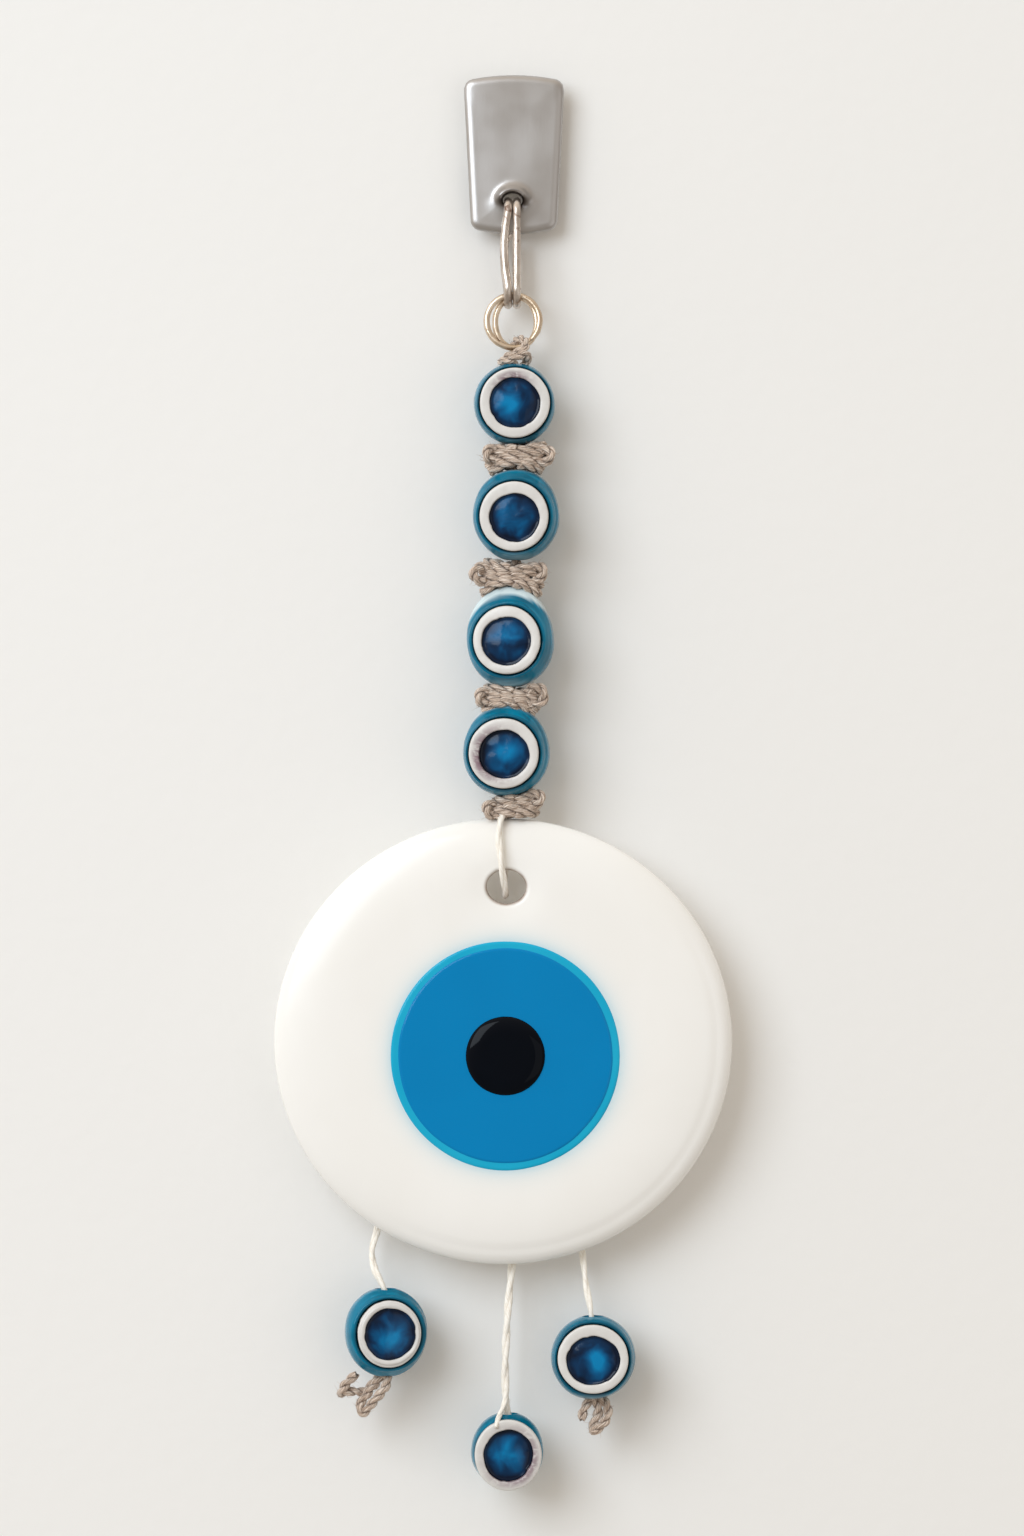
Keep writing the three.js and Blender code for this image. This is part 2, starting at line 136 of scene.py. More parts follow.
class Paint:
    """A material being built: its Principled shader and short calls for the nodes that feed it."""

    def __init__(self, name, **sockets):
        self.material = bpy.data.materials.new(name)
        self.material.use_nodes = True
        self.tree = self.material.node_tree
        self.shader = self.tree.nodes["Principled BSDF"]
        for socket, value in sockets.items():
            self.shader.inputs[socket.replace("_", " ")].default_value = value

    def link(self, value, socket):
        if isinstance(value, bpy.types.NodeSocket):
            self.tree.links.new(value, socket)
        else:
            socket.default_value = value

    def node(self, kind, inputs=None, **settings):
        node = self.tree.nodes.new(kind)
        for key, value in settings.items():
            setattr(node, key, value)
        for key, value in (inputs or {}).items():
            self.link(value, node.inputs[key])
        return node

    def place(self, stretch=(1, 1, 1), attribute=None):
        """Where a texture looks: the object's own coordinates, or a vector kept on the mesh."""
        if attribute:
            source = self.node("ShaderNodeAttribute", attribute_name=attribute).outputs["Vector"]
        else:
            source = self.node("ShaderNodeTexCoord").outputs["Object"]
        return self.node("ShaderNodeMapping", {"Vector": source, "Scale": stretch}).outputs[0]

    def value(self, attribute):
        return self.node("ShaderNodeAttribute", attribute_name=attribute).outputs["Fac"]

    def noise(self, scale, detail=3.0, distortion=0.0, where=None):
        inputs = {"Scale": scale, "Detail": detail, "Distortion": distortion}
        inputs["Vector"] = where or self.place()
        return self.node("ShaderNodeTexNoise", inputs).outputs["Fac"]

    def cells(self, scale):
        inputs = {"Scale": scale, "Vector": self.place()}
        return self.node("ShaderNodeTexVoronoi", inputs).outputs["Distance"]

    def span(self, value, low, high, to_low=0.0, to_high=1.0):
        """The value's range low to high mapped to another range, and held at its ends."""
        inputs = {"Value": value, "From Min": low, "From Max": high}
        inputs.update({"To Min": to_low, "To Max": to_high})
        return self.node("ShaderNodeMapRange", inputs).outputs["Result"]

    def maths(self, operation, first, second):
        node = self.node("ShaderNodeMath", operation=operation)
        self.link(first, node.inputs[0])
        self.link(second, node.inputs[1])
        return node.outputs[0]

    def mix(self, share, first, second):
        node = self.node("ShaderNodeMix", data_type="RGBA")
        self.link(share, node.inputs[0])
        self.link(first, node.inputs[6])
        self.link(second, node.inputs[7])
        return node.outputs[2]

    def ramp(self, value, *stops):
        node = self.node("ShaderNodeValToRGB", {"Fac": value})
        elements = node.color_ramp.elements
        while len(elements) < len(stops):
            elements.new(0.5)
        for element, (position, shade) in zip(elements, stops):
            element.position = position
            element.color = shade
        return node.outputs["Color"]

    def edge(self, blend):
        return self.node("ShaderNodeLayerWeight", {"Blend": blend}).outputs["Facing"]

    def bump(self, height, distance, strength=1.0):
        """Relief of up to that distance in millimetres."""
        inputs = {"Height": height, "Distance": distance * MM, "Strength": strength}
        normal = self.node("ShaderNodeBump", inputs).outputs["Normal"]
        self.link(normal, self.shader.inputs["Normal"])

    def set(self, socket, value):
        self.link(value, self.shader.inputs[socket])


def steel_paint():
    """The tag's satin steel, with a grimy throat, painted shade on the plate under its hole and a
    darker back.
    """
    paint = Paint("tag_steel", Metallic=1.0)
    cloud = paint.noise(90, 2)
    grain = paint.noise(2600, 2, where=paint.place((1, 1, 0.12)))
    shade = paint.mix(cloud, colour(174, 170, 167), colour(194, 192, 191))
    # darkens the throat as grime and the plate below the hole as painted shade
    dirt_and_shade = paint.maths("MULTIPLY", paint.value("grime"), 0.88)
    paint.set("Base Color", paint.mix(dirt_and_shade, shade, colour(66, 58, 54)))
    paint.set("Roughness", paint.span(cloud, 0.3, 0.7, 0.32, 0.42))
    paint.bump(grain, 0.006)
    return paint.material


def worn_metal_paint(name, clean, bright, dark, wear):
    """Soft wire metal: bright where it is rubbed, with brown patina in its outsides."""
    paint = Paint(name, Metallic=1.0)
    patches = paint.noise(420, 5, 0.6)
    shine = paint.noise(160, 2)
    base = paint.mix(paint.span(shine, 0.35, 0.65), clean, bright)
    paint.set("Base Color", paint.mix(paint.span(patches, wear, wear + 0.10), base, dark))
    paint.set("Roughness", paint.span(patches, 0.35, 0.70, 0.22, 0.50))
    paint.bump(paint.noise(900, 4), 0.05)
    return paint.material


def fibre_paint(name, dark, middle, light, relief, fuzz):
    """Spun fibre: streaks that follow each ply, with painted shade in the crease between the plies."""
    paint = Paint(name, Roughness=0.92, Sheen_Weight=fuzz, Sheen_Roughness=0.5)
    streaks = paint.noise(1.0, 3, where=paint.place((0.45, 2.8, 2.8), "fibre"))
    patches = paint.noise(210, 3)
    shade = paint.ramp(streaks, (0.34, dark), (0.49, middle), (0.64, light))
    tone = paint.span(patches, 0.30, 0.70, 0.0, 0.25)
    shade = paint.mix(tone, shade, middle)
    # painted shade: darkens the fibre towards the dark colour where the plies press together
    crease = paint.maths("MULTIPLY", paint.value("crease"), 0.95)
    paint.set("Base Color", paint.mix(crease, shade, dark))
    paint.bump(streaks, relief)
    return paint.material


def teal_paint():
    """A bead's body: streaked glass, paler at its foot, with a painted pale sheen on its crown and
    grazing edges and painted shade in the groove round its ring.
    """
    paint = Paint("teal_glass", Specular_IOR_Level=0.20)
    streaks = paint.noise(1.0, 4, 0.6, paint.place((1.3, 1.3, 7), "swirl"))
    cloud = paint.noise(130, 2)
    deep = paint.mix(paint.span(cloud, 0.3, 0.7), colour(0, 88, 114), colour(0, 114, 146))
    light = colour(8, 138, 174)
    shade = paint.mix(paint.span(streaks, 0.50, 0.72, 0.0, 0.8), deep, light)
    # painted sheen: the glass turns paler towards its grazing edges, like a reflection of the bright
    # room
    rim = paint.maths("MULTIPLY", paint.edge(0.15), 0.30)
    shade = paint.mix(rim, shade, colour(40, 150, 182))
    # painted shade in the groove round the ring's seat
    gap = paint.maths("MULTIPLY", paint.value("gap"), 0.85)
    shade = paint.mix(gap, shade, colour(0, 48, 66))
    # a painted pale sheen over the crown and paler glass at the foot, broken up by the streaks
    broken = paint.span(streaks, 0.22, 0.5, 0.45, 1.0)
    milk = paint.maths("MULTIPLY", paint.value("milk"), broken)
    shade = paint.mix(milk, shade, colour(206, 222, 226))
    paint.set("Base Color", shade)
    paint.set("Roughness", paint.span(streaks, 0.4, 0.7, 0.06, 0.14))
    paint.bump(paint.noise(260, 2), 0.10, 0.6)
    return paint.material


def clay_paint():
    """A bead's ring: matt white, with violet smears where the mesh marks stains, and violet painted
    shade down the wall of its hole.
    """
    paint = Paint("white_clay", Roughness=0.34, Coat_Weight=0.25, Coat_Roughness=0.15)
    cloud = paint.noise(380, 4)
    shade = paint.mix(cloud, colour(203, 200, 196), colour(226, 225, 222))
    smear = paint.noise(520, 4, 0.8, paint.place((1, 1, 1.7)))
    # violet smears on the ring's face, and painted shade down the hole's wall
    stain = paint.maths("MULTIPLY", paint.value("stain"), paint.span(smear, 0.30, 0.52, 0.1, 1.0))
    violet = paint.mix(paint.noise(700, 2), colour(88, 60, 76), colour(150, 122, 132))
    paint.set("Base Color", paint.mix(stain, shade, violet))
    paint.bump(paint.noise(620, 3), 0.05)
    return paint.material


def eye_paint():
    """A bead's eye: navy glass that is lighter where the mesh says that it glows."""
    paint = Paint("navy_glass", Specular_IOR_Level=0.22)
    cloud = paint.noise(250, 2, 0.5)
    glow = paint.maths("ADD", paint.value("glow"), paint.span(cloud, 0.3, 0.7, -0.24, 0.24))
    shade = paint.ramp(
        glow,
        (0.0, colour(0, 18, 42)),
        (0.32, colour(0, 46, 82)),
        (0.62, colour(0, 84, 132)),
        (1.0, colour(0, 124, 178)),
    )
    paint.set("Base Color", shade)
    paint.set("Roughness", paint.span(cloud, 0.3, 0.7, 0.10, 0.18))
    paint.bump(paint.noise(420, 2), 0.12, 0.7)
    return paint.material


def disc_paint(name, first, second, sheen_spread, wave, shine=0.14):
    """Poured glass: nearly one colour, with a faint cloudiness and slow waves in its gloss."""
    paint = Paint(name, Specular_IOR_Level=shine)
    cloud = paint.noise(34, 3, 0.8)
    paint.set("Base Color", paint.mix(cloud, first, second))
    paint.set("Roughness", paint.span(cloud, 0.3, 0.7, *sheen_spread))
    paint.bump(paint.noise(60, 2), wave, 0.5)
    return paint.material


def white_glass_paint():
    """The disc's body: milky, with blue bleeding out round the iris and a soiled hole."""
    paint = Paint("white_glass", Specular_IOR_Level=0.42)
    cloud = paint.noise(34, 3, 0.8)
    shade = paint.mix(cloud, colour(240, 238, 233), colour(246, 245, 242))
    blue = paint.maths("MULTIPLY", paint.value("bleed"), 0.40)
    shade = paint.mix(blue, shade, colour(120, 196, 222))
    patches = paint.span(paint.noise(400), 0.3, 0.6, 0.5, 0.95)
    soil = paint.maths("MULTIPLY", paint.value("soot"), patches)
    paint.set("Base Color", paint.mix(soil, shade, colour(158, 134, 118)))
    paint.set("Roughness", paint.span(cloud, 0.3, 0.7, 0.17, 0.24))
    paint.bump(paint.noise(60, 2), 0.20, 0.5)
    return paint.material


def foam_paint():
    paint = Paint("foam", Roughness=0.95, Sheen_Weight=0.2)
    bubbles = paint.cells(1900)
    shade = paint.ramp(bubbles, (0.0, colour(196, 190, 178)), (0.6, colour(232, 228, 219)))
    paint.set("Base Color", shade)
    paint.bump(bubbles, 0.25)
    return paint.material


def glue_paint():
    paint = Paint("glue", Coat_Weight=0.5, Coat_Roughness=0.1)
    cloud = paint.noise(500, 4)
    paint.set("Base Color", paint.mix(cloud, colour(222, 214, 194), colour(240, 236, 226)))
    paint.set("Roughness", paint.span(cloud, 0.3, 0.7, 0.22, 0.4))
    paint.bump(paint.noise(900, 3), 0.08)
    return paint.material


PAINTS = {
    "tag_steel": steel_paint(),
    "foam": foam_paint(),
    "aged_nickel": worn_metal_paint(
        "aged_nickel", colour(190, 178, 168), colour(226, 217, 208), colour(122, 98, 84), 0.60
    ),
    "pale_gold": worn_metal_paint(
        "pale_gold", colour(204, 184, 160), colour(236, 221, 202), colour(126, 100, 76), 0.64
    ),
    "twine": fibre_paint(
        "twine", colour(78, 54, 40), colour(202, 178, 158), colour(255, 244, 232), 0.30, 0.30
    ),
    "cream_cord": fibre_paint(
        "cream_cord", colour(230, 221, 206), colour(249, 244, 234), colour(255, 253, 248), 0.05, 0.2
    ),
    "teal_glass": teal_paint(),
    "white_clay": clay_paint(),
    "navy_glass": eye_paint(),
    "white_glass": white_glass_paint(),
    "cyan_glass": disc_paint(
        "cyan_glass", colour(0, 156, 198), colour(40, 178, 212), (0.06, 0.12), 0.08
    ),
    "blue_glass": disc_paint(
        "blue_glass", colour(0, 122, 180), colour(0, 130, 190), (0.06, 0.10), 0.10
    ),
    "black_glass": disc_paint(
        "black_glass", colour(0, 2, 8), colour(2, 8, 18), (0.04, 0.08), 0.05, 0.10
    ),
    "glue": glue_paint(),
}


# Meshes


def shell(rows, wrap=False, **values):
    """A closed mesh from loops of points. The last loop joins the first, or both ends are capped."""
    rows = np.asarray(rows, float)
    count, sides = rows.shape[:2]
    points = rows.reshape(-1, 3)
    faces = []
    for row in range(count if wrap else count - 1):
        here, there = row * sides, (row + 1) % count * sides
        for side in range(sides):
            after = (side + 1) % sides
            faces.append((here + side, here + after, there + after, there + side))
    kept = {name: np.broadcast_to(value, (count, sides)).ravel() for name, value in values.items()}
    if not wrap:
        last = (count - 1) * sides
        points = np.vstack([points, rows[0].mean(axis=0), rows[-1].mean(axis=0)])
        for side in range(sides):
            after = (side + 1) % sides
            faces.append((after, side, len(points) - 2))
            faces.append((last + side, last + after, len(points) - 1))
        kept = {
            name: np.append(value, [value[:sides].mean(), value[-sides:].mean()])
            for name, value in kept.items()
        }
    return points, faces, kept


def merged(shells):
    """Several shells as one. They hold the same named values."""
    points, faces, start = [], [], 0
    for shell_points, shell_faces, _ in shells:
        points.append(shell_points)
        faces += [tuple(start + corner for corner in face) for face in shell_faces]
        start += len(shell_points)
    kept = {name: np.concatenate([s[2][name] for s in shells]) for name in shells[0][2]}
    return np.vstack(points), faces, kept


def make_object(name, made):
    """A smooth-shaded object from a shell given in millimetres."""
    points, faces, values = made
    mesh = bpy.data.meshes.new(name)
    mesh.from_pydata((points * MM).tolist(), [], faces)
    editable = bmesh.new()
    editable.from_mesh(mesh)
    bmesh.ops.recalc_face_normals(editable, faces=editable.faces)
    editable.to_mesh(mesh)
    editable.free()
    for key, value in values.items():
        if key[-2:] not in ("_x", "_y", "_z"):
            mesh.attributes.new(key, "FLOAT", "POINT").data.foreach_set("value", value)
        elif key.endswith("_x"):
            vectors = np.column_stack([values[key[:-1] + letter] for letter in "xyz"])
            stored = mesh.attributes.new(key[:-2], "FLOAT_VECTOR", "POINT")
            stored.data.foreach_set("vector", vectors.ravel())
    mesh.shade_smooth()
    piece = bpy.data.objects.new(name, mesh)
    bpy.context.scene.collection.objects.link(piece)
    return piece


def add_piece(name, made, slot, body, *replaced):
    """A finished piece: its mesh, its paint, the body it rides on and the CAD nodes it stands for."""
    piece = make_object(name, made) if isinstance(made, tuple) else made
    piece.data.materials.clear()
    piece.data.materials.append(PAINTS[slot])
    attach(piece, body)
    if replaced:
        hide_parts(*replaced)
    return piece


def cut(piece, tool, crease=35):
    """Takes the tool's shape out of the piece, and keeps edges sharper than the crease angle."""
    modifier = piece.modifiers.new("cut", "BOOLEAN")
    modifier.operation = "DIFFERENCE"
    modifier.solver = "EXACT"
    modifier.object = tool
    graph = bpy.context.evaluated_depsgraph_get()
    result = bpy.data.meshes.new_from_object(piece.evaluated_get(graph))
    piece.modifiers.clear()
    piece.data = result
    bpy.data.objects.remove(tool)
    result.shade_smooth()
    result.set_sharp_from_angle(angle=math.radians(crease))
    return piece


def turned(profile, middle, axis, sides, reshape=None, wrap=False, **values):
    """A shape turned about an axis through its middle, from (radius, height) points.

    reshape takes (points, angles, profile row) offsets and may move them. Each value is a function
    of the same three.
    """
    axis = unit(np.asarray(axis, float))
    right = unit(np.cross(UP, axis)) if abs(axis[2]) < 0.9 else np.array([1.0, 0.0, 0.0])
    up = np.cross(axis, right)
    angles = circle(sides)
    spokes = np.cos(angles)[:, None] * right + np.sin(angles)[:, None] * up
    profile = np.asarray(profile, float)
    rows = profile[:, 0, None, None] * spokes + profile[:, 1, None, None] * axis
    if reshape:
        rows = reshape(rows, angles, profile)
    kept = {name: value(rows, angles, profile) for name, value in values.items()}
    return shell(rows + middle, wrap, **kept)


def arc(middle_radius, middle_height, radius, start, end, steps=6):
    """Profile points round a corner, with the angles in degrees."""
    angles = np.radians(np.linspace(start, end, steps))
    return [
        (middle_radius + radius * math.cos(a), middle_height + radius * math.sin(a)) for a in angles
    ]


def line_of(points, spacing):
    """An evenly spaced smooth curve through the points."""
    points = np.asarray(points, float)
    padded = np.vstack([2 * points[0] - points[1], points, 2 * points[-1] - points[-2]])
    share = np.linspace(0, 1, 24, endpoint=False)[:, None]
    dense = []
    for a, b, c, d in zip(padded, padded[1:], padded[2:], padded[3:]):
        straight, bend, turn = c - a, 2 * a - 5 * b + 4 * c - d, 3 * (b - c) + d - a
        dense.append(b + straight / 2 * share + bend / 2 * share**2 + turn / 2 * share**3)
    dense = np.vstack([*dense, points[-1:]])
    lengths = lengths_along(dense)
    even = np.linspace(0, lengths[-1], max(4, round(lengths[-1] / spacing) + 1))
    return np.column_stack([np.interp(even, lengths, dense[:, k]) for k in range(3)])


def across(line):
    """Two directions across a line at each of its points, turning as little as they can."""
    tangents = unit(np.gradient(line, axis=0))
    start = UP if abs(tangents[0][2]) < 0.9 else np.array([1.0, 0.0, 0.0])
    sides = [unit(np.cross(tangents[0], start))]
    for tangent in tangents[1:]:
        sides.append(unit(sides[-1] - (sides[-1] @ tangent) * tangent))
    sides = np.array(sides)
    return sides, np.cross(tangents, sides)


def spokes_round(line, sides):
    """Unit vectors out from each point of a line, all round it."""
    side, up = across(line)
    angles = circle(sides)
    return np.cos(angles)[:, None] * side[:, None] + np.sin(angles)[:, None] * up[:, None]


def tube(line, radius, sides, **values):
    """A round tube along a line. The radius may change along it and round it."""
    radius = np.broadcast_to(radius, (len(line), sides))[..., None]
    return shell(line[:, None] + radius * spokes_round(line, sides), **values)


def ply(line, radius, seed, sides, outside):
    """One ply of a twisted cord, with its fibres as shallow ridges that wind round it.

    outside points out of the cord at each point of the line, away from the crease between the plies.
    """
    angles = circle(sides)
    along = lengths_along(line)
    wind = angles + along[:, None] / radius * 0.55
    lumps = ripple(line, seed, 2.4)[:, None]
    swell = 1 + 0.08 * lumps + 0.07 * np.sin(3 * wind) + 0.04 * np.sin(5 * wind + 1.3)
    side, up = across(line)
    outward = np.cos(angles) * (side * outside).sum(axis=1)[:, None]
    outward = outward + np.sin(angles) * (up * outside).sum(axis=1)[:, None]
    return tube(
        line,
        radius * swell,
        sides,
        # painted shade on the side of the ply that faces the crease
        crease=smooth(-outward, -0.15, 0.75),
        fibre_x=along[:, None] + seed,
        fibre_y=np.cos(wind) * 1.5,
        fibre_z=np.sin(wind) * 1.5,
    )


def stray_fibres(line, radius, count, seed, length):
    """Short fibres that stand out of a cord."""
    random = np.random.default_rng(seed)
    side, up = across(line)
    tangents = unit(np.gradient(line, axis=0))
    made = []
    for _ in range(count):
        at = random.integers(1, len(line) - 1)
        turn = random.uniform(0, 2 * math.pi)
        out = math.cos(turn) * side[at] + math.sin(turn) * up[at]
        lean = tangents[at] * random.choice([-1, 1]) * random.uniform(0.5, 1.4)
        reach = random.uniform(0.5, 1) * length
        start = line[at] + out * radius * 0.8
        bend = random.normal(size=3) * 0.25 * reach
        knee = start + (0.35 * out + lean * 0.4) * reach
        hair = line_of([start, knee, start + (out + lean) * reach * 0.7 + bend], reach / 5)
        thick = np.linspace(0.045, 0.018, len(hair))[:, None]
        # a fifth of the painted crease shade on every stray fibre
        made.append(tube(hair, thick, 3, crease=0.2, fibre_x=seed, fibre_y=0.0, fibre_z=0.0))
    return made


def twisted(points, radius, pitch, seed, spacing=0.3, sides=10, fibres=0, length=1.6, apart=0.46):
    """A cord of two plies twisted round each other along a smooth line.

    apart is how far a ply's middle lies from the line, as a share of the cord's radius.
    """
    line = line_of(points, spacing)
    side, up = across(line)
    along = lengths_along(line)
    made = []
    for number in range(2):
        turn = 2 * math.pi * (along / pitch + number / 2)
        out = np.cos(turn)[:, None] * side + np.sin(turn)[:, None] * up
        path = line + out * radius * apart
        made.append(ply(path, radius * (1.06 - apart), seed + number, sides, out))
    made += stray_fibres(line, radius, fibres, seed, length)
    return merged(made)


# Cords. The routes are the CAD part's own, in metres.

PENDANT_CORDS = {
    "left": {
        "diameter": 0.0015,
        "route": [
            (-0.0295, -0.0055, -0.2339), (-0.0302, -0.0056, -0.2375), (-0.0313, -0.0069, -0.2420),
            (-0.0306, -0.0092, -0.2460), (-0.0288, -0.0103, -0.2496), (-0.0282, -0.0104, -0.2530),
            (-0.0282, -0.0104, -0.2690),
        ],
    },
    "middle": {
        "diameter": 0.0017,
        "route": [
            (-0.0003, -0.0056, -0.2411), (-0.0004, -0.0061, -0.2450), (-0.0010, -0.0086, -0.2505),
            (-0.0015, -0.0101, -0.2570), (-0.0019, -0.0104, -0.2650), (-0.0019, -0.0104, -0.2720),
            (-0.0015, -0.0104, -0.2785), (-0.0015, -0.0104, -0.2918),
        ],
    },
    "right": {
        "diameter": 0.0014,
        "route": [
            (0.0150, -0.0055, -0.2393), (0.0152, -0.0063, -0.2436), (0.0159, -0.0089, -0.2495),
            (0.0168, -0.0102, -0.2545), (0.0173, -0.0104, -0.2600), (0.0174, -0.0104, -0.2740),
        ],
    },
}
DISC_LOOP_ROUTE = [
    (-0.0026, -0.0128, -0.1459), (-0.0031, -0.0141, -0.1476), (-0.0033, -0.0151, -0.1505),
    (-0.0031, -0.0156, -0.1540), (-0.0027, -0.0156, -0.1575), (-0.0023, -0.0149, -0.1598),
    (-0.0020, -0.0130, -0.1620), (-0.0019, -0.0102, -0.1635), (-0.0019, -0.0074, -0.1632),
    (-0.0019, -0.0055, -0.1612), (-0.0019, -0.0051, -0.1580), (-0.0020, -0.0054, -0.1540),
    (-0.0020, -0.0059, -0.1505), (-0.0018, -0.0069, -0.1478), (-0.0016, -0.0080, -0.1460),
]


def add_pendant_cords():
    for seed, (side, cord) in enumerate(PENDANT_CORDS.items(), 40):
        route = np.array(cord["route"])
        line = line_of(route / MM, 0.4)
        radius = cord["diameter"] / MM / 2
        made = twisted(route / MM, radius, 17, seed, fibres=14, length=0.8, apart=0.30)
        body = f"{side}_pendant"
        piece = add_piece(f"{side}_cord", made, "cream_cord", body, f"{side}_pendant_cord")
        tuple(cord["route"][0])


add_pendant_cords()


def add_disc_loop():
    made = twisted(np.array(DISC_LOOP_ROUTE) / MM, 0.74, 16, 50, fibres=12, length=0.8, apart=0.30)
    add_piece("disc_cord", made, "cream_cord", "disc", "disc_loop")


# Wall and light


def add_wall():
    """A plaster wall that is clear from behind, so that the ornament's back can be looked at."""
    paint = Paint("wall", Roughness=0.9)
    shade = paint.mix(paint.noise(3, 2), colour(236, 235, 232), colour(239, 238, 236))
    paint.set("Base Color", shade)
    paint.bump(paint.noise(240, 4), 0.18, 0.5)
    output = paint.tree.nodes["Material Output"]
    back = paint.node("ShaderNodeNewGeometry").outputs["Backfacing"]
    clear = paint.node("ShaderNodeBsdfTransparent").outputs[0]
    mixed = paint.node("ShaderNodeMixShader")
    paint.link(back, mixed.inputs[0])
    paint.link(paint.shader.outputs[0], mixed.inputs[1])
    paint.link(clear, mixed.inputs[2])
    paint.link(mixed.outputs[0], output.inputs["Surface"])
    half = WALL_SIZE / 2
    x, _, z = VIEW_CENTRE
    corners = [(x - half, z - half), (x + half, z - half), (x + half, z + half), (x - half, z + half)]
    mesh = bpy.data.meshes.new("wall")
    places = [(corner_x * MM, WALL_GAP * MM, corner_z * MM) for corner_x, corner_z in corners]
    mesh.from_pydata(places, [], [(0, 1, 2, 3)])
    mesh.materials.append(paint.material)
    wall = bpy.data.objects.new("wall", mesh)
    bpy.context.scene.collection.objects.link(wall)
    wall.visible_shadow = False


def add_light(name, place, size, power, tint):
    """A soft square light aimed at the middle of the view, from a place in metres beside it."""
    data = bpy.data.lights.new(name, "AREA")
    data.shape = "SQUARE"
    data.size = size
    data.energy = power
    data.color = tint
    light = bpy.data.objects.new(name, data)
    light.location = VIEW_CENTRE * MM + place
    x, y, z = -np.array(place)
    light.rotation_euler = (math.pi / 2 + math.atan2(z, math.hypot(x, y)), 0, -math.atan2(x, y))
    bpy.context.scene.collection.objects.link(light)


WORLD_TINT = (1.0, 0.90, 0.785)
WORLD_TOWARD = (-0.45, 0.25, 0.86)  # where the studio is brightest
WORLD_START = -0.35  # how far round towards there it starts to brighten, as a cosine
WORLD_RANGE = (0.45, 1.12)
BACKDROP = 0.88  # the strength that the camera sees beyond the wall


def add_world():
    """A pale studio: brighter above and to the left, darker in front."""
    world = bpy.data.worlds.new("studio")
    world.use_nodes = True
    tree = world.node_tree
    background = tree.nodes["Background"]
    background.inputs["Color"].default_value = (*WORLD_TINT, 1)
    where = tree.nodes.new("ShaderNodeTexCoord")
    toward = tree.nodes.new("ShaderNodeVectorMath")
    toward.operation = "DOT_PRODUCT"
    toward.inputs[1].default_value = WORLD_TOWARD
    spread = tree.nodes.new("ShaderNodeMapRange")
    spread.inputs["From Min"].default_value = WORLD_START
    spread.inputs["To Min"].default_value, spread.inputs["To Max"].default_value = WORLD_RANGE
    tree.links.new(where.outputs["Generated"], toward.inputs[0])
    tree.links.new(toward.outputs["Value"], spread.inputs["Value"])
    rays = tree.nodes.new("ShaderNodeLightPath")
    backdrop = tree.nodes.new("ShaderNodeMix")
    backdrop.inputs["B"].default_value = BACKDROP
    tree.links.new(rays.outputs["Is Camera Ray"], backdrop.inputs["Factor"])
    tree.links.new(spread.outputs["Result"], backdrop.inputs["A"])
    tree.links.new(backdrop.outputs["Result"], background.inputs["Strength"])
    bpy.context.scene.world = world


def add_lighting():
    add_world()
    add_light("key", place=(-1.0, -1.45, 0.78), size=1.3, power=24.5, tint=(0.80, 0.90, 1.0))
    add_light("fill", place=(1.3, -1.6, -0.3), size=1.6, power=3.6, tint=(0.95, 0.97, 1.0))
    bpy.context.scene.view_settings.view_transform = "Standard"


add_wall()
add_lighting()


# Wall tag

TAG_TAPER = 0.869  # its width at the bottom, as a share of its width at the top
TAG_CORNER = 2.4
TAG_BOW = 0.8
TAG_EDGE = 1.7  # the width of its rim's rounding
TAG_CROWN = 0.16
TAG_HOOD = 1.45  # how far the hood over its hole stands out
TAG_HOLE = {"x": -0.3, "z": -10.1, "half_width": 2.15, "half_height": 1.5}


def tag_outline():
    """Points round the tag's rim, seen from the front: a tapering plate with bowed ends."""
    low, high = box("tag_plate")
    half_height, wide = (high[2] - low[2]) / 2, high[0]
    narrow = wide * TAG_TAPER
    corner, bow = TAG_CORNER, TAG_BOW
    across_top = np.linspace(-1, 1, 41)
    rise = half_height - corner - bow * across_top**2
    top = np.column_stack([across_top * (wide - corner), rise])
    bottom = np.column_stack([across_top * (narrow - corner), -rise])
    inner = np.vstack([top, bottom])
    turns = circle(1440)
    normals = np.column_stack([np.cos(turns), np.sin(turns)])
    corners = inner[np.argmax(normals @ inner.T, axis=1)] + corner * normals
    return evenly_round(corners, 900)


def evenly_round(loop, count):
    """A closed loop of points, spaced evenly."""
    closed = np.vstack([loop, loop[:1]])
    lengths = lengths_along(closed)
    even = np.linspace(0, lengths[-1], count, endpoint=False)
    return np.column_stack([np.interp(even, lengths, closed[:, k]) for k in (0, 1)])


def seen_from(middle, loop, angles):
    """Where lines from the middle at those angles meet a closed loop of points."""
    turns = np.arctan2(loop[:, 1] - middle[1], loop[:, 0] - middle[0]) % (2 * math.pi)
    order = np.argsort(turns)
    turns, loop = turns[order], loop[order]
    turns = np.concatenate([turns - 2 * math.pi, turns, turns + 2 * math.pi])
    loop = np.vstack([loop, loop, loop])
    return np.column_stack([np.interp(angles, turns, loop[:, k]) for k in (0, 1)])


